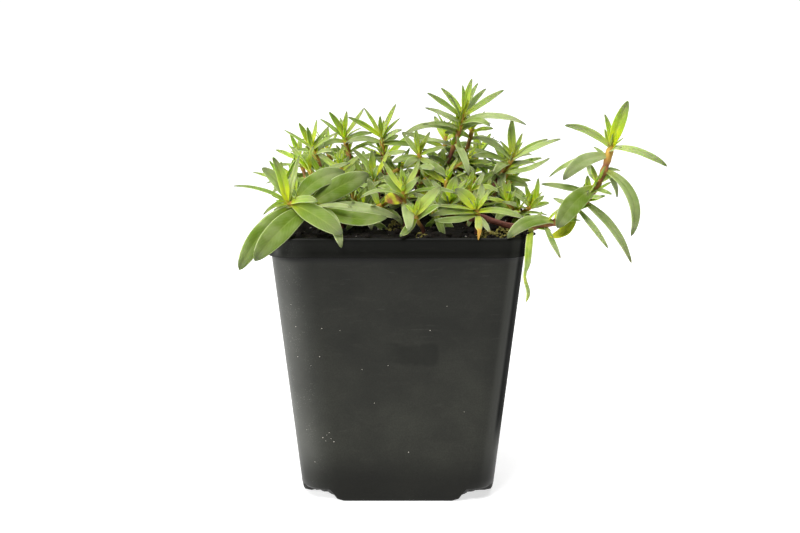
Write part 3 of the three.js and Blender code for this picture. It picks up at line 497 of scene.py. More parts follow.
# The long shoot that runs over the rim.
TRAILING = "trailing_right"

# The small young leaves at each tip, and the smaller ones where older leaves grow, which only
# the render has: distance from the tip, pitch, length and width, without the distance for the
# smaller ones. Those begin at a distance from the tip, and have a size.
BUD = [(0.2, 80, 5.2, 1.3), (0.5, 72, 6.2, 1.5), (1.2, 58, 7, 1.7)]
AXIL_LEAF = (56, 5, 1.7)
AXILS = (3, 1)
TRAILING_AXILS = (9, 1.5)
YOUNG_UPRIGHT = 0.35

# The short side shoots, which only the render has too: from which share of the stem's
# length, counted from its tip, they grow and the share between them, then their reach and
# their size, each as the least and what chance adds. They stay inside the rim and above the
# soil. Their leaves are darkened as painted shade, deep inside the plant.
SIDE_SHOOTS = 3
SIDE_PAIRS = 4
SIDE_SHOOTS_FROM = 0.46
SIDE_SHOOTS_STEP = 0.14
SIDE_REACH = (5, 5)
SIDE_SIZE = (0.58, 0.2)
SIDE_SHOOTS_WITHIN = 41
SIDE_SHOOTS_ABOVE = 4
SIDE_SHOOTS_PAINTED_SHADE = -0.6
WITHOUT_SIDE_SHOOTS = [
    "trailing_right", "front_left", "front_low", "front_middle", "front_right", "left_edge",
    "left_low",
]

# What each point of a leaf or a stem tells its material.
LEAF_PAINTS = ["across", "along", "margin", "middle", "age", "tone", "blush", "under", "dry"]

# How yellow or red, and how dry at its tip, a leaf with a look of its own is.
LOOKS = {
    "yellowing": (1.1, 0), "withering": (0.8, 1.4), "dry_tip": (0.1, 0.85),
    "thin_end": (0.55, 0), "red": (1.5, 0.2),
}

# How much paler than the others the leaves of some shoots are.
PALER = {
    "trailing_right": 0.8, "right": 0.4, "right_edge": 0.3, "front_right": 0.3, "tallest": 0.2,
}

# Where clods and moss lie on the soil, with their spread and how many lumps they have.
CLODS = [((39, 27), 3.5, 60), ((38, 34), 3, 50), ((40.5, -39), 1.6, 16), ((-36, -36), 3, 40)]
MOSS = [((-1, -27), 3, 90), ((35, -32), 4.5, 190), ((29, -35), 3.4, 110), ((8, -37), 2, 40)]

# Where dust sticks to the pot's front, x and z, and how big the specks are.
DUST = [
    (-35.7, 71.4), (-34.2, 63.6), (-25.5, 62.9), (-19.4, 62.2), (-33.7, 52.9), (-26.3, 52.9),
    (-29.3, 49.7), (-12.1, 48.3), (-3.3, 49.7), (-31, 26.5), (-28.4, 14.7), (10.8, 62.2),
    (-24.2, 24.6), (-22.8, 23.2), (-21.8, 22.1), (-24.6, 22.4), (-23.4, 25.4), (-25.6, 23.6),
    (22.5, 33), (-8, 36.2), (3.6, 18.2), (16.4, 70.8),
]
DUST_SIZE = 0.1
DUST_SPREAD = 0.07


def seeded_numbers(seed):
    """Small steady differences: numbers from 0 to 1 that are the same at every run."""
    state = seed * 7919

    def number():
        nonlocal state
        state = (state * 1664525 + 1013904223) % 2**32
        return state / 2**32

    return number


def unit(vector):
    return vector / np.linalg.norm(vector)


def smooth_step(value, low, high):
    t = np.clip((value - low) / (high - low), 0, 1)
    return t * t * (3 - 2 * t)


def linked(name, data):
    """A new Blender object with this data, in the scene."""
    made = bpy.data.objects.new(name, data)
    bpy.context.scene.collection.objects.link(made)
    return made


def aimed(way):
    """The rotation of a lamp or camera that looks along a direction."""
    return way.to_track_quat("-Z", "Y").to_euler()


def soil_height(x, y):
    """The height of the soil's uneven top."""
    crown = SOIL_CROWN * (1 - (x * x + y * y) / (2 * RIM_HALF * RIM_HALF))
    lumps = SOIL_LUMPS * math.sin(0.31 * x + 1) * math.cos(0.27 * y)
    clods = SOIL_CLODS * math.sin(0.73 * x + 0.41 * y)
    return SOIL_EDGE_Z + crown + lumps + clods


class Skin:
    """The points, faces and painted values of one mesh, gathered part by part."""

    def __init__(self, paints=()):
        self.points = []
        self.faces = []
        self.slots = []
        self.paints = {name: [] for name in paints}
        self.count = 0

    def add(self, points, faces, slot=0, **paints):
        points = np.asarray(points, float)
        self.points.append(points)
        self.faces += [[corner + self.count for corner in face] for face in faces]
        self.slots += [slot] * len(faces)
        for name, values in self.paints.items():
            values.append(np.broadcast_to(paints.get(name, 0.0), len(points)))
        self.count += len(points)

    def piece(self, name, materials):
        """The gathered parts as a Blender object."""
        points = np.concatenate(self.points) * MM
        mesh = bpy.data.meshes.new(name)
        mesh.from_pydata(points.tolist(), [], self.faces)
        for material in materials:
            mesh.materials.append(material)
        mesh.polygons.foreach_set("material_index", self.slots)
        for paint, values in self.paints.items():
            attribute = mesh.attributes.new(paint, "FLOAT", "POINT")
            attribute.data.foreach_set("value", np.concatenate(values).astype(np.float32))
        shape = bmesh.new()
        shape.from_mesh(mesh)
        bmesh.ops.recalc_face_normals(shape, faces=shape.faces)
        shape.to_mesh(mesh)
        shape.free()
        mesh.shade_smooth()
        made = linked(name, mesh)
        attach(made, "root")
        return made


def band_faces(rings, sides):
    """The faces of a closed tube through rings of equally many points."""
    faces = []
    for low in range(0, (rings - 1) * sides, sides):
        high = low + sides
        for side in range(sides):
            after = (side + 1) % sides
            faces.append([low + side, low + after, high + after, high + side])
    faces.append(list(reversed(range(sides))))
    faces.append(list(range((rings - 1) * sides, rings * sides)))
    return faces


def curve_point(t, start, end, leave, arrive):
    """The point at t, from 0 to 1, of a curve with these ends and directions there."""
    return (
        start * (2 * t**3 - 3 * t**2 + 1) + leave * (t**3 - 2 * t**2 + t)
        + end * (3 * t**2 - 2 * t**3) + arrive * (t**3 - t**2)
    )


def smooth_line(path, fine_steps):
    """Points along a smooth line through the path's points, straight in the soil."""
    points = [np.array(point, float) for point in path]
    line = []
    for span in range(len(points) - 1):
        here, after = points[span], points[span + 1]
        leave = (after - points[max(span - 1, 0)]) * 0.5
        arrive = (points[min(span + 2, len(points) - 1)] - here) * 0.5
        steps = 1 if span == 0 else fine_steps
        for step in range(steps):
            line.append(curve_point(step / steps, here, after, leave, arrive))
    line.append(points[-1])
    return line


def point_from_tip(line, back):
    """The point of a line that lies `back` from its end, and the line's direction there."""
    rest = back
    for i in range(len(line) - 1, 0, -1):
        step = line[i] - line[i - 1]
        length = np.linalg.norm(step)
        if rest <= length or i == 1:
            return line[i] - step / length * rest, step / length
        rest -= length


def bend_of(droop):
    """A droop in radians, never quite 0, because a leaf is part of a circle."""
    return math.radians(1 if abs(droop) < 1 else droop)


def axes_of(heading, rise):
    """A leaf's directions: ahead on the level, to its side, and out of its upper face."""
    ahead = np.array([math.cos(heading), math.sin(heading), 0])
    level = np.cross(UP, ahead)
    back = UP * math.cos(rise) - ahead * math.sin(rise)
    return ahead, level, back


def turned_roll(heading, rise, turned):
    """How far a leaf rolls to turn its face, or with a minus its underside, to the front."""
    _, level, back = axes_of(heading, rise)
    seen = -1 if turned < 0 else 1
    return abs(turned) * math.atan2(-seen * level @ FRONT, seen * back @ FRONT)


def drawn_leaf(line, row):
    """A leaf from its row: an arc from the stem to the leaf's own tip."""
    back, x, y, z, width, droop, turned, *look = row
    base, _ = point_from_tip(line, back)
    chord = np.array([x, y, z]) - base
    bend = bend_of(droop)
    heading = math.atan2(chord[1], chord[0])
    rise = math.atan2(chord[2], math.hypot(chord[0], chord[1]))
    return dict(
        base=base, heading=heading, rise=rise + bend / 2, droop=bend,
        length=np.linalg.norm(chord) * (bend / 2) / math.sin(bend / 2), width=width,
        roll=turned_roll(heading, rise, turned), age=min(1, AGE_AT_TIP + back / GROWN_AT),
        look=look[0] if look else "", back=back,
    )


def leaf_way(along, upright, turn, pitch):
    """The heading and rise of a leaf turned round its stem and pitched towards the tip."""
    axis = unit(along + upright * UP)
    side = unit(ALONG_X - axis * axis[0])
    front = np.cross(axis, side)
    angle, lean = math.radians(turn), math.radians(pitch)
    way = (
        axis * math.sin(lean) + side * math.cos(lean) * math.cos(angle)
        + front * math.cos(lean) * math.sin(angle)
    )
    return math.atan2(way[1], way[0]), math.asin(way[2])


def rosette_leaves(line, turn, pairs, size, seed):
    """Crossed pairs of leaves, upright at the tip and spreading below it."""
    random = seeded_numbers(seed)

    def spread(what):
        return ROSETTE_SPREADS[what] * (2 * random() - 1)

    leaves = []
    for pair, (back, pitch, droop, longer, wider, age) in enumerate(ROSETTE[:pairs]):
        for opposite in (0, 180):
            base, along = point_from_tip(line, back * size + spread("back"))
            angle = turn + 90 * pair + opposite + spread("turn")
            heading, rise = leaf_way(along, ROSETTE_UPRIGHT, angle, pitch + spread("pitch"))
            bend = bend_of(droop + spread("droop"))
            leaves.append(dict(
                base=base, heading=heading, rise=rise, droop=bend,
                length=ROSETTE_LENGTH * size * longer * (1 + spread("length")),
                width=ROSETTE_WIDTH * (0.35 + 0.65 * size) * wider * (1 + spread("width")),
                roll=turned_roll(heading, rise - bend / 2, ROSETTE_TURNED + spread("turned")),
                age=age, look="", back=back * size,
            ))
    return leaves


def small_leaves(line, rows, turn, size, seed, age):
    """Pairs of small young leaves along a stem."""
    random = seeded_numbers(seed + 500)
    leaves = []
    for pair, (back, pitch, length, width) in enumerate(rows):
        base, along = point_from_tip(line, back)
        for opposite in (0, 180):
            angle = turn + 45 + 90 * pair + opposite + 24 * (random() - 0.5)
            heading, rise = leaf_way(along, YOUNG_UPRIGHT, angle, pitch + 14 * (random() - 0.5))
            leaves.append(dict(
                base=base, heading=heading, rise=rise, droop=math.radians(2 + 10 * random()),
                length=length * size * (0.8 + 0.4 * random()), width=width * (0.4 + 0.6 * size),
                roll=turned_roll(heading, rise, 0.4 * random()), age=age, look="", back=back,
            ))
    return leaves


def axil_rows(leaves, first):
    """A small pair for each place on the stem, from `first` on, where older leaves grow."""
    places = sorted({round(leaf["back"]) for leaf in leaves if leaf["back"] > first})
    return [(back, *AXIL_LEAF) for back in places]


def side_shoots(line, seed):
    """Short shoots from the lower half of a stem: the line and the leaves of each."""
    random = seeded_numbers(seed + 900)
    length = sum(np.linalg.norm(after - before) for before, after in zip(line, line[1:]))
    made = []
    for i in range(SIDE_SHOOTS):
        share = SIDE_SHOOTS_FROM + SIDE_SHOOTS_STEP * (i + random())
        base, _ = point_from_tip(line, (length - STEM_DEPTH) * share)
        heading = 2 * math.pi * (i + 0.8 * random()) / SIDE_SHOOTS + seed
        out = SIDE_REACH[0] + SIDE_REACH[1] * random()
        tip = base + np.array([out * math.cos(heading), out * math.sin(heading), 1 + 4 * random()])
        tip[:2] = np.clip(tip[:2], -SIDE_SHOOTS_WITHIN, SIDE_SHOOTS_WITHIN)
        tip[2] = max(tip[2], soil_height(tip[0], tip[1]) + SIDE_SHOOTS_ABOVE)
        side_line = smooth_line([base, base + 0.4 * (tip - base) - 0.6 * UP, tip], 3)
        size = SIDE_SIZE[0] + SIDE_SIZE[1] * random()
        leaves = rosette_leaves(side_line, 360 * random(), SIDE_PAIRS, size, seed + 70 + i)
        leaves += small_leaves(side_line, BUD[1:], 360 * random(), size, seed + i, 0)
        made.append((side_line, leaves))
    return made


def bent_leaf(leaf, lift, swing, share):
    bent = dict(leaf)
    bent["rise"] += math.radians(lift)
    bent["heading"] += math.radians(swing)
    bent["length"] *= share
    return bent


def leaf_place(leaf, share):
    """A point of the leaf's middle line, with the directions to its side and out of its face."""
    rise = leaf["rise"] - leaf["droop"] * share
    ahead, level, back = axes_of(leaf["heading"], rise)
    arc = leaf["length"] / leaf["droop"]
    centre = (
        leaf["base"] + ahead * arc * (math.sin(leaf["rise"]) - math.sin(rise))
        + UP * arc * (math.cos(rise) - math.cos(leaf["rise"]))
    )
    roll = leaf["roll"] + leaf.get("twist", 0) * (share - 0.4)
    side = level * math.cos(roll) + back * math.sin(roll)
    face = back * math.cos(roll) - level * math.sin(roll)
    return centre, side, face


def as_solid(leaf, corners):
    """The leaf bent as its CAD solid is, whose corners hold its tip, or None without one."""
    for bend in BENDS:
        bent = bent_leaf(leaf, *bend)
        tip, _, _ = leaf_place(bent, 1)
        if np.min(np.linalg.norm(corners - tip, axis=1)) < TIP_MATCH:
            return bent
    return None


def outline_at(outline, share):
    """The outline's width at a share of the length, on a smooth curve through its points."""
    shares, widths = zip(*outline)
    last = len(outline) - 1
    i = min(max(int(np.searchsorted(shares, share)) - 1, 0), last - 1)
    step = shares[i + 1] - shares[i]

    def slope(k):
        a, b = max(k - 1, 0), min(k + 1, last)
        return (widths[b] - widths[a]) / (shares[b] - shares[a])

    t = (share - shares[i]) / step
    return curve_point(t, widths[i], widths[i + 1], slope(i) * step, slope(i + 1) * step)


def add_leaf(skin, leaf, seed, grid, paler=0):
    """A fine leaf: a folded blade with a rib, a groove, and a soft edge."""
    across_at, steps = grid
    random = seeded_numbers(seed)
    old = leaf["age"]
    small = (BROAD_TO - leaf["width"]) / (BROAD_TO - BROAD_FROM)
    narrow = max((1 - old) ** 2, min(1, max(0, small)))
    fold = FOLD + FOLD_WHEN_OLD * old + FOLD_SPREAD * random()
    curl = CURL + CURL_WHEN_OLD * old * random()
    waves = WAVES + WAVES_SPREAD * random()
    phase = 6.3 * random()
    wave = WAVE_HEIGHT + WAVE_HEIGHT * random()
    sway = leaf["length"] * SWAY * (2 * random() - 1)
    tone = 2 * random() - 1 + paler
    if leaf["width"] > BROAD_TO:
        tone = BROAD_TONE + BROAD_TONE_SPREAD * tone
    leaf = {**leaf, "twist": TWIST * (2 * random() - 1)}
    half_full = leaf["width"] / 2
    thin = min(1, leaf["width"] / THICK_FROM)
    shrunken = SHRUNKEN if leaf["look"] == "withering" else 0
    thin_end = leaf["look"] == "thin_end"
    points, across, along, margin, under = [], [], [], [], []
    for step in range(steps + 1):
        share = 1 - (1 - step / steps) ** 1.2
        centre, side, face = leaf_place(leaf, share)
        centre = centre + side * sway * math.sin(math.pi * share)
        wide = outline_at(BROAD_OUTLINE, share)
        wide += narrow * (outline_at(NARROW_OUTLINE, share) - wide)
        far = shrunken * smooth_step(share, *SHRUNKEN_BETWEEN)
        if thin_end:
            wide = outline_at(THIN_END_OUTLINE, share)
            turn = 2 * math.pi * max(0, share - THIN_END_FROM) / (1 - THIN_END_FROM)
            centre = centre - side * THIN_END_WAVE * half_full * math.sin(turn)
        half = half_full * wide * (1 - far)
        centre = centre + side * far * half_full
        upper, lower = [], []
        for u in across_at:
            out = abs(u)
            lift = half * (fold * out**1.2 - curl * out**4)
            sweep = math.sin(FULL_TURN * waves * share + phase + (1.7 if u > 0 else 0))
            lift += half * wave * sweep * out**2 * math.sin(math.pi * share)
            thick = thin * (BLADE_EDGE + (BLADE_MIDDLE - BLADE_EDGE) * (1 - out**1.5)) / 2
            thick *= 0.45 + 0.55 * min(1, 5 * (1 - share) + 0.15)
            middle = max(0, 1 - out / RIB_HALF) ** 2 * (1 - share) * thin
            place = centre + side * u * half
            upper.append(place + face * (lift + thick - GROOVE * middle))
            lower.append(place + face * (lift - thick - RIB * middle))
        points += upper + lower[::-1]
        across += across_at + across_at[::-1]
        margin += [half * (1 - abs(u)) + 2 * smooth_step(share, 0.9, 1) for u in across_at] * 2
        along += [share] * (2 * len(across_at))
        under += [0] * len(across_at) + [1] * len(across_at)
    blush, dry = LOOKS.get(leaf["look"], (0.12 * random() ** 2, 0.25 * random() ** 3))
    if thin_end:
        tone = THIN_END_TONE[0] + THIN_END_TONE[1] * np.array(along)
        along = THIN_END_AGED * np.array(along)
    skin.add(
        points, band_faces(steps + 1, 2 * len(across_at)),
        across=across, along=along, margin=margin, middle=np.abs(across) * half_full,
        under=under, age=old, tone=tone, blush=blush, dry=dry,
    )


def add_stem(skin, line, radius, nodes, tip_radius=STEM_TIP_RADIUS, tone=0):
    """A round stem along a line, a little thicker where each pair of leaves grows."""
    lengths = [0.0]
    for before, after in zip(line, line[1:]):
        lengths.append(lengths[-1] + np.linalg.norm(after - before))
    total = lengths[-1]
    side = ALONG_X.copy()
    points = []
    for i, point in enumerate(line):
        ahead = unit(line[min(i + 1, len(line) - 1)] - line[max(i - 1, 0)])
        side = unit(side - ahead * (side @ ahead))
        front = np.cross(ahead, side)
        share = lengths[i] / total
        back = total - lengths[i]
        reach = radius + (tip_radius - radius) * share**2
        swelling = max(math.exp(-(((back - node) / NODE_LENGTH) ** 2)) for node in nodes)
        reach *= BETWEEN_NODES + NODE_SWELLING * swelling
        reach *= min(1, STEM_END + back / STEM_END_LENGTH)
        for k in range(STEM_SIDES):
            angle = 2 * math.pi * k / STEM_SIDES
            points.append(point + reach * (side * math.cos(angle) + front * math.sin(angle)))
    back = np.repeat(total - np.array(lengths), STEM_SIDES)
    near = np.zeros(len(points))
    for node in nodes:
        near = np.maximum(near, np.exp(-(((back - node) / (1.6 * NODE_LENGTH)) ** 2)))
    age = np.clip(back / STEM_GROWN_AT, 0, 1)
    faces = band_faces(len(line), STEM_SIDES)
    skin.add(points, faces, 1, age=age, tone=tone, blush=near)


# Materials.


class Painter:
    """Short calls for building one material from nodes, its colour laid on coat by coat."""

    def __init__(self, name):
        self.material = bpy.data.materials.new(name)
        self.material.use_nodes = True
        self.tree = self.material.node_tree
        self.shader = self.tree.nodes["Principled BSDF"]
        self.place = self.put("ShaderNodeTexCoord").outputs["Object"]
        self.colour = None

    def put(self, kind, inputs=(), **settings):
        node = self.tree.nodes.new(kind)
        for name, value in settings.items():
            setattr(node, name, value)
        for key, value in dict(inputs).items():
            self.give(node.inputs[key], value)
        return node

    def give(self, socket, value):
        """A value, or the link to another node, for a socket; None leaves it alone."""
        if isinstance(value, bpy.types.NodeSocket):
            self.tree.links.new(value, socket)
        elif value is not None:
            socket.default_value = value

    def paint(self, name):
        return self.put("ShaderNodeAttribute", attribute_name=name).outputs["Fac"]

    def sum(self, operation, a, b=None, c=None):
        node = self.put("ShaderNodeMath", {0: a, 1: b, 2: c}, operation=operation)
        return node.outputs[0]

    def times(self, *values):
        return functools.reduce(lambda a, b: self.sum("MULTIPLY", a, b), values)

    def plus(self, *values):
        return functools.reduce(lambda a, b: self.sum("ADD", a, b), values)

    def ease(self, value, low, high):
        """0 below `low`, 1 above `high` and smooth between them; `high` may be the lower one."""
        inputs = {"Value": value, "From Min": low, "From Max": high}
        node = self.put("ShaderNodeMapRange", inputs, interpolation_type="SMOOTHSTEP")
        return node.outputs["Result"]

    def scaled(self, value, low, high):
        """A value from 0 to 1 as one from `low` to `high`."""
        inputs = {"Value": value, "To Min": low, "To Max": high}
        return self.put("ShaderNodeMapRange", inputs).outputs["Result"]

    def mix(self, share, a, b):
        a = (*a, 1) if isinstance(a, tuple) else a
        b = (*b, 1) if isinstance(b, tuple) else b
        return self.put("ShaderNodeMix", {0: share, 6: a, 7: b}, data_type="RGBA").outputs[2]

    def coat(self, colour, *shares):
        """A colour over the one so far, as dense as the product of its shares."""
        self.colour = self.mix(self.times(*shares), self.colour, colour)

    def stretched(self, x, y, z):
        inputs = {0: self.place, 1: (x, y, z)}
        return self.put("ShaderNodeVectorMath", inputs, operation="MULTIPLY").outputs[0]

    def millimetres(self):
        return self.stretched(1 / MM, 1 / MM, 1 / MM)

    def noise(self, size, detail=3, rough=0.55, place=None):
        """Noise from 0 to 1 with features about `size` mm across."""
        scale = 1 / (size * MM)
        inputs = {"Vector": place or self.place, "Scale": scale, "Detail": detail}
        return self.put("ShaderNodeTexNoise", {**inputs, "Roughness": rough}).outputs["Fac"]

    def cells(self, size):
        """How far each place lies from the nearest of the points about `size` mm apart."""
        inputs = {"Vector": self.place, "Scale": 1 / (size * MM)}
        return self.put("ShaderNodeTexVoronoi", inputs).outputs["Distance"]

    def bump(self, height, depth, strength=1.0, under=None):
        """Relief where a height of 1 stands `depth` mm above a height of 0."""
        inputs = {"Height": height, "Distance": depth * MM, "Strength": strength, "Normal": under}
        return self.put("ShaderNodeBump", inputs).outputs["Normal"]

    def finish(self, **sockets):
        for name, value in {"Base_Color": self.colour, **sockets}.items():
            self.give(self.shader.inputs[name.replace("_", " ")], value)
        return self.material


def leaf_material():
    """Green by age, tone and place on the leaf, then its veins, edges, blushes and dry tip."""
    m = Painter("leaf")
    across = m.sum("ABSOLUTE", m.paint("across"))
    along, age, blush, dry = map(m.paint, ["along", "age", "blush", "dry"])
    young = m.mix(m.ease(along, 0.1, 0.65), (0.56, 0.62, 0.001), (0.3, 0.39, 0.035))
    green = m.mix(m.ease(along, 0, 0.4), (0.45, 0.54, 0.001), (0.235, 0.3, 0.085))
    grown = m.mix(m.ease(m.noise(7, 2), 0.35, 0.7), (0.11, 0.185, 0.004), (0.27, 0.325, 0.125))
    grown = m.mix(m.ease(along, 0.3, 0), grown, (0.33, 0.38, 0.02))
    m.colour = m.mix(m.ease(age, 0.05, 0.45), young, green)
    m.coat(grown, m.ease(age, 0.4, 0.95))
    tone = m.times(m.paint("tone"), m.scaled(m.ease(age, 0, 0.5), 0.35, 1))
    # Leaves paler and darker than most; the side shoots' darker leaves are painted shade.
    m.coat((0.365, 0.41, 0.215), m.ease(tone, 0, 1), 0.6)
    m.coat((0.105, 0.16, 0.012), m.ease(tone, 0, -1), 0.5)
    # The greyish end, its dark point, and mottles.
    m.coat((0.17, 0.175, 0.1), m.ease(along, 0.5, 0.95), m.scaled(age, 0.8, 0.45))
    m.coat((0.06, 0.058, 0.045), m.ease(along, 0.84, 1), 0.7)
    m.coat((0.12, 0.22, 0.02), m.ease(m.noise(1.6, 3), 0.35, 0.7), 0.16)
    # The paler underside, then veins, midrib and a pale margin, which is partly the leaf's own and
    # partly a painted highlight where light catches its rounded edge.
    m.coat((0.33, 0.4, 0.15), m.paint("under"), m.scaled(age, 0, 0.35))
    slant = m.plus(m.times(along, 1.4), m.times(across, -0.35))
    slant = m.put("ShaderNodeCombineXYZ", {"X": slant}).outputs[0]
    wave = {"Vector": slant, "Scale": 3.2, "Distortion": 1.2, "Detail": 1.5}
    veins = m.ease(m.put("ShaderNodeTexWave", wave).outputs["Fac"], 0.8, 0.98)
    m.coat((0.4, 0.47, 0.15), veins, 0.05)
    rib = m.times(m.ease(m.paint("middle"), 0.32, 0.1), m.scaled(along, 0.75, 0.2))
    m.coat((0.44, 0.5, 0.14), rib, m.scaled(age, 0.5, 0.25))
    # The pale margin: partly the leaf's own colour, partly a painted highlight on the rounded
    # edge.
    m.coat((0.48, 0.52, 0.3), m.ease(m.paint("margin"), 0.36, 0.1), m.scaled(age, 0.1, 0.5))
    yellow = m.plus(m.noise(5, 3), m.times(along, 0.35), m.times(blush, 0.75))
    m.coat((0.46, 0.5, 0.04), m.ease(yellow, 0.95, 1.5))
    red = m.plus(blush, m.times(m.noise(4), 1.4))
    m.coat((0.24, 0.075, 0.045), m.ease(red, 1.95, 2.4))
    # The warm foot of the leaf, and what is dry.
    m.coat((0.5, 0.34, 0.05), m.ease(along, 0.09, 0), m.scaled(m.noise(2), 0.3, 1))
    dry_part = m.plus(along, m.noise(2.5), m.times(dry, 0.75))
    m.coat((0.36, 0.205, 0.04), m.ease(dry, 0, 1), m.ease(dry_part, 2.05, 2.25))
    relief = m.plus(m.times(veins, 0.25), m.noise(0.7, 4))
    return m.finish(
        Roughness=m.scaled(m.noise(2, 3), 0.45, 0.68), Normal=m.bump(relief, 0.06, 0.7),
        Specular_IOR_Level=0.14, Sheen_Weight=0.04, Sheen_Roughness=0.45,
        Sheen_Tint=(0.9, 1, 0.8, 1), Subsurface_Weight=m.scaled(age, 0.9, 0.35),
        Subsurface_Radius=(0.7, 1.0, 0.25), Subsurface_Scale=MM,
    )


def stem_material():
    """Pale at the tip and reddish brown lower down, with orange where leaves grow."""
    m = Painter("stem")
    age = m.paint("age")
    grain = m.noise(1.2, 4, place=m.stretched(1, 1, 0.35))
    m.colour = m.mix(grain, (0.42, 0.36, 0.05), (0.32, 0.22, 0.045))
    old = m.mix(m.ease(grain, 0.3, 0.7), (0.034, 0.013, 0.008), (0.15, 0.05, 0.03))
    old = m.mix(m.times(m.paint("tone"), 0.6), old, (0.28, 0.1, 0.07))
    m.coat(old, m.ease(m.plus(age, m.times(grain, 0.3)), 0.25, 0.65))
    m.coat((0.5, 0.27, 0.05), m.paint("blush"), m.scaled(age, 0.6, 0.45))
    relief = m.noise(0.8, 4, place=m.stretched(1, 1, 0.3))
    return m.finish(
        Roughness=m.scaled(m.noise(1.5), 0.45, 0.7), Normal=m.bump(relief, 0.15, 0.8),
        Specular_IOR_Level=0.25,
    )


def pot_material(name, shine, painted_shade_lightness):
    """Black plastic with streaks and scratches, and with painted light and shade on it; its places
    are in mm on the pot.
    """
    m = Painter(name)
    x, y, z = m.put("ShaderNodeSeparateXYZ", {0: m.millimetres()}).outputs
    cloud = m.noise(18, 4)
    streak = m.noise(2.2, 5, 0.65, place=m.stretched(0.25, 0.25, 1.2))
    scratch = m.noise(0.9, 2, 0.6, place=m.stretched(0.12, 0.12, 1))
    grain = m.noise(0.45, 3)
    # Lighter towards the bottom: painted light, standing in for the floor's reflection low down
    # and the shade of the rim and leaves high up.
    low = m.ease(z, 90, 20)
    dark = m.mix(low, (0.0105, 0.011, 0.0085), (0.0225, 0.023, 0.018))
    pale = m.mix(low, (0.0185, 0.019, 0.015), (0.035, 0.036, 0.028))
    m.colour = m.mix(m.ease(cloud, 0.3, 0.75), dark, pale)
    m.coat((0.045, 0.045, 0.036), m.ease(streak, 0.5, 0.8), 0.25)
    m.coat((0.08, 0.08, 0.07), m.ease(scratch, 0.66, 0.74), 0.12)
    m.coat((0.006, 0.006, 0.005), m.ease(grain, 0.7, 0.3), 0.3)
    half = m.sum("MULTIPLY_ADD", z, POT_TAPER, FOOT_HALF)
    from_left, from_front = m.plus(half, x), m.plus(half, y)
    from_right = m.sum("SUBTRACT", half, x)
    at_corner = m.ease(from_front, 14, 4)
    # A painted reflection of the lamp at the left: lighter over the front's left corner, and less
    # along the left side.
    painted_reflection = m.times(m.ease(from_left, 15, 0), m.scaled(cloud, 0.3, 0.8))
    m.coat((0.1, 0.102, 0.094), painted_reflection, m.scaled(m.ease(from_front, 45, 10), 0.2, 1))
    speckle = m.times(m.ease(m.noise(0.4, 1), 0.64, 0.7), m.ease(m.noise(5, 2), 0.45, 0.6))
    m.coat((0.28, 0.28, 0.24), speckle, m.ease(from_left, 14, 2), 0.3)
    # A painted gleam and a painted shade at the front's right corner, then the dark foot.
    m.coat((0.055, 0.056, 0.048), at_corner, m.ease(from_right, 6, 4), 0.5)
    # The dark band along the right corner is painted shade, and it is rougher there too.
    painted_shade_edge = m.times(m.ease(from_right, 3, 1.8), m.ease(z, 16, 32), at_corner)
    m.coat((0.001, 0.0015, 0.001), painted_shade_edge, 0.95)
    m.coat((0.003, 0.003, 0.002), m.ease(z, 20, 7), 0.65)
    # The whole colour darkened by a share; for the rim this is painted shade, a darker copy of the
    # same plastic.
    m.colour = m.mix(painted_shade_lightness, (0, 0, 0), m.colour)
    # The shade under the rim, and a smudge on the front.
    m.coat((0.002, 0.002, 0.002), m.ease(z, 85.5, 87.3), m.ease(z, 88.2, 87.5), 0.7)
    ragged = m.sum("MULTIPLY_ADD", m.noise(5, 2), 6, z)
    sides = (y, 0, -20), (x, -7, 2), (x, 14.5, 12.5), (ragged, 52.5, 54.5), (ragged, 61.5, 59.5)
    rubbed = m.times(m.scaled(m.noise(3), 0.5, 1), *(m.ease(*side) for side in sides))
    m.coat((0.0055, 0.006, 0.004), rubbed, 0.65)
    rough = m.plus(m.scaled(cloud, 0.27, 0.4), m.times(streak, 0.1), m.times(painted_shade_edge, 0.4))
    relief = m.plus(m.times(grain, 0.6), m.times(streak, 0.5))
    normal = m.bump(relief, 0.05, 0.6, m.bump(m.noise(26, 2), 0.5, 0.5))
    return m.finish(Roughness=rough, Normal=normal, Specular_IOR_Level=shine)


def soil_material(name, dark, pale):
    """Dark peat with a few pale flecks."""
    m = Painter(name)
    lump = m.noise(1.8, 5, 0.65)
    fleck = m.times(m.ease(m.cells(1.1), 0.12, 0.05), m.ease(m.noise(4), 0.5, 0.62))
    m.colour = m.mix(m.ease(lump, 0.35, 0.75), dark, pale)
    m.coat((0.2, 0.15, 0.08), fleck, 0.5)
    normal = m.bump(m.noise(0.6, 5, 0.7), 0.5, 1, m.bump(lump, 0.8, 1))
    return m.finish(Roughness=m.scaled(lump, 0.75, 0.98), Normal=normal, Specular_IOR_Level=0.3)


def moss_material():
    """Dull yellow green."""
    m = Painter("moss")
    m.colour = m.mix(m.noise(1.5, 3), (0.12, 0.1, 0.02), (0.3, 0.27, 0.06))
    return m.finish(Roughness=m.scaled(m.noise(1), 0.7, 0.95))


def grit_material():
    """Off-white, for the perlite and the dust."""
    m = Painter("grit")
    m.colour = m.mix(m.noise(0.8, 3), (0.35, 0.31, 0.24), (0.72, 0.7, 0.64))
    normal = m.bump(m.noise(0.3, 3), 0.15)
    return m.finish(Roughness=m.scaled(m.noise(0.5), 0.7, 0.95), Normal=normal)


def floor_material():
    """White, and brighter far from the pot, so that the floor fades into the background."""
    m = Painter("floor")
    m.colour = m.mix(m.noise(60, 3), (0.5, 0.5, 0.5), (0.52, 0.52, 0.52))
    far = m.put("ShaderNodeVectorMath", {0: m.millimetres()}, operation="LENGTH").outputs["Value"]
    glow = m.scaled(m.ease(far, *FLOOR_GLOW_GROWS), *FLOOR_GLOW)
    return m.finish(Roughness=0.9, Emission_Color=(1, 1, 1, 1), Emission_Strength=glow)


# The pot.


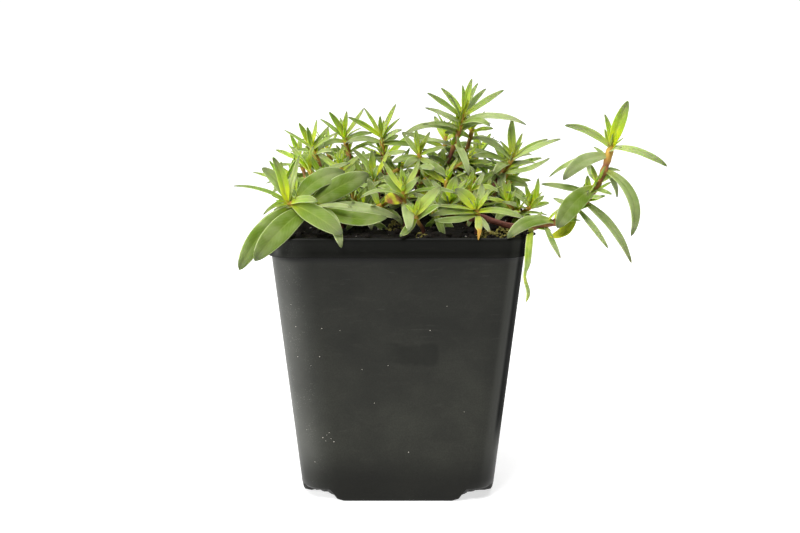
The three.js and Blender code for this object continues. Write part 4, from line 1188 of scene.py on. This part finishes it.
def square_ring(half, corner):
    """The outline of a rounded square, as points counterclockwise from +X."""
    ring = []
    for quarter in range(4):
        middle = math.radians(45 + 90 * quarter)
        reach = (half - corner) * math.sqrt(2)
        cx, cy = reach * math.cos(middle), reach * math.sin(middle)
        for step in range(CORNER_STEPS + 1):
            angle = math.radians(90) * (quarter + step / CORNER_STEPS)
            ring.append((cx + corner * math.cos(angle), cy + corner * math.sin(angle)))
        end = ring[-1]
        turn = math.radians(90) * (quarter + 1)
        flat = 2 * (half - corner)
        for step in range(1, FLAT_STEPS):
            run = flat * step / FLAT_STEPS
            ring.append((end[0] - run * math.sin(turn), end[1] + run * math.cos(turn)))
    return np.array(ring)


def body_half(z):
    """Half the width of the pot's tapering body at a height."""
    return FOOT_HALF + POT_TAPER * z


def under_height(x, y):
    """The height of the pot's underside: its four corners are raised."""
    a, b = np.abs(x), np.abs(y)
    inner = np.minimum(a, b) - RAISED_ROUND * np.exp(-(((a - b) / RAISED_ROUND_WIDTH) ** 2))
    return RAISED_HEIGHT * smooth_step(inner, RAISED_FROM, RAISED_TO)


def build_pot(materials):
    """The pot's skin, ring by ring: underside, outer wall, rim, inner wall and floor."""
    rings = []

    def put(outline, z):
        rings.append(np.column_stack([outline, np.broadcast_to(z, len(outline))]))

    def put_flat(outline, share, lift):
        flat = outline * share
        put(flat, lift + under_height(flat[:, 0], flat[:, 1]))

    def foot(inset):
        return square_ring(FOOT_HALF - inset, BODY_CORNER - inset)

    def inner(z, wider=0, rounder=0):
        return square_ring(body_half(z) - POT_WALL + wider, BODY_CORNER - POT_WALL + rounder)

    for share in (*FLAT_SHARES, 0.95):
        put_flat(foot(FOOT_PROFILE[0][0]), share, 0)
    outline = foot(0)
    start = under_height(outline[:, 0], outline[:, 1])
    for inset, lift in FOOT_PROFILE:
        put(foot(inset), start + lift)
    for share in WALL_SHARES:
        z = start + 1 + (SHOULDER_Z - start - 1) * share
        wall = [square_ring(body_half(height), BODY_CORNER)[k] for k, height in enumerate(z)]
        put(np.array(wall), z)
    put(square_ring(SHOULDER_HALF, BODY_CORNER), SHOULDER_Z - 0.15)
    put(square_ring(SHOULDER_HALF + 0.15, BODY_CORNER), SHOULDER_Z)
    for inset, z in RIM_PROFILE:
        put(square_ring(RIM_HALF - inset, RIM_CORNER), z)
    put(inner(POT_HEIGHT, 0.5, 0.3), POT_HEIGHT)
    put(inner(POT_HEIGHT, 0.1), POT_HEIGHT - 0.2)
    put(inner(POT_HEIGHT), POT_HEIGHT - 0.6)
    for z in (88, 60, 30, 8, POT_FLOOR_EDGE_Z):
        put(inner(z), z)
    for share in (0.97, *reversed(FLAT_SHARES)):
        put_flat(inner(POT_FLOOR_EDGE_Z), share, POT_WALL)
    skin = Skin()
    points = np.concatenate(rings)
    skin.add(points, band_faces(len(rings), len(outline)))
    lowest = [min(points[corner][2] for corner in face) for face in skin.faces]
    skin.slots = [int(low > SHOULDER_Z - 0.05) for low in lowest]
    pot = skin.piece("nursery_pot", materials)
    drill(pot)
    pot.data.set_sharp_from_angle(angle=math.radians(SHARP_ANGLE))
    return pot


def drill(pot):
    """The four drainage holes."""
    shape = bmesh.new()
    radius = DRAIN_RADIUS * MM
    for sx in (-1, 1):
        for sy in (-1, 1):
            made = bmesh.ops.create_cone(
                shape, cap_ends=True, segments=DRAIN_SIDES, depth=DRAIN_CUT * MM,
                radius1=radius, radius2=radius,
            )
            place = Vector((sx * DRAIN_AT, sy * DRAIN_AT, 0)) * MM
            bmesh.ops.translate(shape, verts=made["verts"], vec=place)
    mesh = bpy.data.meshes.new("drains")
    shape.to_mesh(mesh)
    shape.free()
    drains = linked("drains", mesh)
    cut = pot.modifiers.new("drains", "BOOLEAN")
    cut.operation = "DIFFERENCE"
    cut.solver = "EXACT"
    cut.object = drains
    bpy.context.view_layer.update()
    evaluated = pot.evaluated_get(bpy.context.evaluated_depsgraph_get())
    drilled = bpy.data.meshes.new_from_object(evaluated)
    pot.modifiers.clear()
    pot.data = drilled
    drilled.name = "nursery_pot"
    bpy.data.objects.remove(drains)


# The soil.


def lumpy_height(x, y):
    """The soil's top with its crumbly surface."""
    height = soil_height(x, y)
    for size, layer, rough, octaves, lift in SOIL_RELIEF:
        height += lift * noise.fractal(Vector((x / size, y / size, layer)), rough, 2.1, octaves)
    return height


def build_soil(material):
    """The soil in rings: up the pot's inner wall, then inwards over its crumbly top."""
    rings = []
    inset = POT_WALL + CLEAR
    for z in (6, 30, 60, 85):
        outline = square_ring(body_half(z) - inset, BODY_CORNER - inset)
        rings.append(np.column_stack([outline, np.full(len(outline), float(z))]))
    edge = square_ring(body_half(SOIL_EDGE_Z) - inset, BODY_CORNER - inset)
    for share in np.linspace(1, 0.015, SOIL_TOP_RINGS):
        flat = edge * share
        rings.append(np.column_stack([flat, [lumpy_height(x, y) for x, y in flat]]))
    skin = Skin()
    skin.add(np.concatenate(rings), band_faces(len(rings), len(edge)))
    return skin.piece("soil_bed", [material])


def add_lump(skin, centre, sizes, seed):
    """A small irregular lump."""
    shape = bmesh.new()
    bmesh.ops.create_icosphere(shape, subdivisions=1, radius=1)
    random = seeded_numbers(seed)
    spin = FULL_TURN * random()
    tilt = 0.8 * (random() - 0.5)
    points = []
    for vertex in shape.verts:
        way = vertex.co
        bumpy = 1 + 0.45 * noise.noise(way * 1.3 + Vector((seed * 1.7, 0, 0)))
        x, y, z = (way[k] * sizes[k] * bumpy for k in range(3))
        x, z = x * math.cos(tilt) - z * math.sin(tilt), x * math.sin(tilt) + z * math.cos(tilt)
        x, y = x * math.cos(spin) - y * math.sin(spin), x * math.sin(spin) + y * math.cos(spin)
        points.append((centre[0] + x, centre[1] + y, centre[2] + z))
    faces = [[vertex.index for vertex in face.verts] for face in shape.faces]
    shape.free()
    skin.add(points, faces)


def in_the_pot(x, y, room):
    """Whether a place lies on the soil, at least `room` inside its rounded square."""
    straight = body_half(SOIL_EDGE_Z) - POT_WALL - CLEAR - room - SOIL_CORNER
    over_x = max(abs(x) - straight, 0)
    over_y = max(abs(y) - straight, 0)
    return math.hypot(over_x, over_y) < SOIL_CORNER


def build_crumbs(material):
    """Crumbs on the soil, on the rim at the right, and more of them at its front corner."""
    skin = Skin()
    random = seeded_numbers(41)
    for i in range(CRUMBS):
        x, y = SOIL_WIDTH * (random() - 0.5), SOIL_WIDTH * (random() - 0.5)
        size = 0.35 + 1.1 * random() ** 2.5
        flat = 0.55 + 0.4 * random()
        if in_the_pot(x, y, size):
            centre = (x, y, lumpy_height(x, y) + 0.25 * size)
            add_lump(skin, centre, (size, size * (0.7 + 0.3 * random()), size * flat), 1000 + i)
    for i in range(RIM_CRUMBS):
        run = random()
        size = 0.35 + 0.7 * random()
        centre = (RIM_INSIDE + 1.1 * random(), -40 + 80 * run, POT_HEIGHT + 0.4 * size)
        add_lump(skin, centre, (size, size, 0.7 * size), 3000 + i)
    for i in range(CORNER_CRUMBS):
        out, run = random(), random()
        size = 0.9 - 0.4 * out
        z = POT_HEIGHT + 0.5 + 0.9 * (1 - out) * random()
        centre = (RIM_INSIDE + 0.5 + 3 * out, -40 + 3 * run, z)
        add_lump(skin, centre, (size, size, 0.8 * size), 3100 + i)
    return skin.piece("soil_crumbs", [material])


def build_grit(material):
    """Small pale grains scattered over the soil."""
    skin = Skin()
    random = seeded_numbers(43)
    for i in range(GRIT):
        x, y = SOIL_WIDTH * (random() - 0.5), SOIL_WIDTH * (random() - 0.5)
        size = 0.16 + 0.5 * random() ** 4
        if in_the_pot(x, y, size):
            centre = (x, y, lumpy_height(x, y) + 0.35 * size)
            add_lump(skin, centre, (size, size * 0.8, size * 0.7), 5000 + i)
    return skin.piece("perlite_grit", [material])


def build_clumps(name, clumps, size, seed, material):
    """Lumps of a size, heaped round some places on the soil."""
    skin = Skin()
    for i, ((x, y), spread, count) in enumerate(clumps):
        clump_seed = seed + 200 * i
        random = seeded_numbers(clump_seed)
        for k in range(count):
            away = spread * math.sqrt(random())
            turn = FULL_TURN * random()
            px, py = x + away * math.cos(turn), y + away * math.sin(turn)
            heap = 0.6 * spread * (1 - (away / spread) ** 2) * random()
            radius = size * (0.5 + 0.7 * random())
            place = (px, py, lumpy_height(px, py) + heap)
            add_lump(skin, place, (radius, radius, 0.8 * radius), clump_seed + k)
    return skin.piece(name, [material])


def build_dust(material):
    """White specks on the pot's front."""
    skin = Skin()
    for i, (x, z) in enumerate(DUST):
        size = DUST_SIZE + DUST_SPREAD * (i % 3) / 2
        add_lump(skin, (x, -body_half(z), z), (size, size, size), 9000 + i)
    return skin.piece("dust_specks", [material])


# The scene.


def build_shoots(materials):
    """Each leafy stem as one fine piece in its node's place."""
    lost = 0
    for name, (radius, path, rows) in DRAWN_SHOOTS.items():
        line = smooth_line(path, STEM_STEPS)
        leaves = [drawn_leaf(line, row) for row in rows]
        buds = small_leaves(line, BUD, 20 * len(leaves), 0.9, len(leaves), 0)
        first, size = TRAILING_AXILS if name == TRAILING else AXILS
        buds += small_leaves(line, axil_rows(leaves, first), 30, size, len(leaves), 0.1)
        lost += build_shoot(name, path, radius, leaves, buds, materials)
    for name, (root, tip, turn, pairs, size, seed) in ROSETTE_SHOOTS.items():
        (rx, ry), (tx, ty, tz) = root, tip
        ground = soil_height(rx, ry)
        path = [
            (rx, ry, ground - STEM_DEPTH), (rx, ry, ground),
            (rx + 0.45 * (tx - rx), ry + 0.45 * (ty - ry), ground + 0.45 * (tz - ground)),
            (tx, ty, tz),
        ]
        line = smooth_line(path, STEM_STEPS)
        leaves = rosette_leaves(line, turn, pairs, size, seed)
        buds = small_leaves(line, BUD, turn, size, seed, 0)
        lost += build_shoot(name, path, ROSETTE_STEM, leaves, buds, materials)
    print("leaves without a solid:", lost)


def slimmed(leaf):
    """A leaf a little slimmer than its thick solid, where it isn't a broad one."""
    slim = SLIM + (1 - SLIM) * smooth_step(leaf["width"], BROAD_FROM, SLIM_TO)
    if leaf["look"] == "thin_end":
        slim = THIN_END_WIDER
    return {**leaf, "width": leaf["width"] * slim}


def build_shoot(name, path, radius, leaves, buds, materials):
    """One stem with its leaves, and how many of them have no solid to follow."""
    node_name = "leafy_stem_" + name
    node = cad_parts[node_name]
    corners = np.array([vertex.co for vertex in node.data.vertices]) / MM
    placed = [as_solid(leaf, corners) for leaf in leaves]
    kept = [slimmed(leaf) for leaf in placed if leaf is not None]
    skin = Skin(LEAF_PAINTS)
    seed = sum(map(ord, node_name))
    line = smooth_line(path, STEM_FINE_STEPS)
    tip_radius = TRAILING_TIP_RADIUS if name == TRAILING else STEM_TIP_RADIUS
    paler = PALER.get(name, 0)
    add_stem(skin, line, radius, [leaf["back"] for leaf in leaves], tip_radius, paler)
    for i, leaf in enumerate(kept + buds):
        add_leaf(skin, leaf, seed + 37 * i, FINE_GRID if i < len(kept) else PLAIN_GRID, paler)
    piece = skin.piece("shoot_" + name, materials)
    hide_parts(node_name)
    if name not in WITHOUT_SIDE_SHOOTS:
        build_side_shoots(name, line, seed, materials)
    return len(leaves) - len(kept)


def build_side_shoots(name, line, seed, materials):
    """The side shoots of one stem, as a piece of their own."""
    skin = Skin(LEAF_PAINTS)
    for i, (side_line, leaves) in enumerate(side_shoots(line, seed)):
        add_stem(skin, side_line, SIDE_STEM, [leaf["back"] for leaf in leaves])
        for k, leaf in enumerate(leaves):
            # The side shoots' leaves are darkened as painted shade inside the plant.
            add_leaf(skin, leaf, seed + 100 * i + 31 * k, PLAIN_GRID, SIDE_SHOOTS_PAINTED_SHADE)
    piece = skin.piece("side_shoots_" + name, materials)


def build_stage():
    """The white floor, which isn't a piece of the object."""
    mesh = bpy.data.meshes.new("studio_floor")
    size = FLOOR_HALF * MM
    corners = [(-size, -size, 0), (size, -size, 0), (size, size, 0), (-size, size, 0)]
    mesh.from_pydata(corners, [], [(0, 1, 2, 3)])
    mesh.materials.append(floor_material())
    linked("studio_floor", mesh)


def add_lamp(name, place, size, power):
    light = bpy.data.lights.new(name, "AREA")
    light.shape = "RECTANGLE"
    light.size, light.size_y = (side * MM for side in size)
    light.energy = power
    lamp = linked(name, light)
    lamp.location = Vector(place) * MM
    lamp.rotation_euler = aimed(Vector(LAMPS_TARGET) - Vector(place))


def build_light():
    """The sky, whose strength changes from left to right, and the lamps."""
    world = bpy.data.worlds.new("studio")
    world.use_nodes = True
    tree = world.node_tree
    way = tree.nodes.new("ShaderNodeTexCoord")
    parts = tree.nodes.new("ShaderNodeSeparateXYZ")
    shade = tree.nodes.new("ShaderNodeMapRange")
    for socket, value in (("From Min", -1), ("To Min", SKY_LEFT), ("To Max", SKY_RIGHT)):
        shade.inputs[socket].default_value = value
    tree.links.new(way.outputs["Generated"], parts.inputs[0])
    tree.links.new(parts.outputs["X"], shade.inputs["Value"])
    tree.links.new(shade.outputs["Result"], tree.nodes["Background"].inputs["Strength"])
    bpy.context.scene.world = world
    for name, (place, size, power) in LAMPS.items():
        add_lamp(name, place, size, power)
    bpy.context.scene.view_settings.view_transform = "Standard"
    bpy.context.scene.view_settings.gamma = VIEW_GAMMA


def build_camera():
    rise = math.radians(CAMERA_RISE)
    away = Vector((0, -math.cos(rise), math.sin(rise)))
    data = bpy.data.cameras.new("camera")
    data.lens = CAMERA_LENS
    data.sensor_width = CAMERA_SENSOR
    data.clip_start = 0.01
    camera = linked("camera", data)
    camera.location = Vector(CAMERA_TARGET) * MM + away * CAMERA_DISTANCE * MM
    camera.rotation_euler = aimed(-away)
    bpy.context.scene.camera = camera


build_camera()
build_light()
build_stage()

# The rim is the same plastic as the body, darkened as painted shade.
pot = build_pot([pot_material("pot_plastic", 0.2, 1.0), pot_material("rim_plastic_painted_shade", 0.1, 0.5)])
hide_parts("pot")

soil = build_soil(soil_material("soil", (0.003, 0.0022, 0.0016), (0.018, 0.012, 0.007)))
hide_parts("soil")

crumb_look = soil_material("crumbs", (0.005, 0.0036, 0.0025), (0.028, 0.019, 0.011))
clod_look = soil_material("clods", (0.005, 0.004, 0.003), (0.025, 0.019, 0.012))
grit_look = grit_material()
for piece in (
    build_crumbs(crumb_look),
    build_clumps("soil_clods", CLODS, 0.75, 7000, clod_look),
    build_clumps("moss", MOSS, 0.42, 8000, moss_material()),
    build_grit(grit_look),
):
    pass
build_dust(grit_look)

build_shoots([leaf_material(), stem_material()])
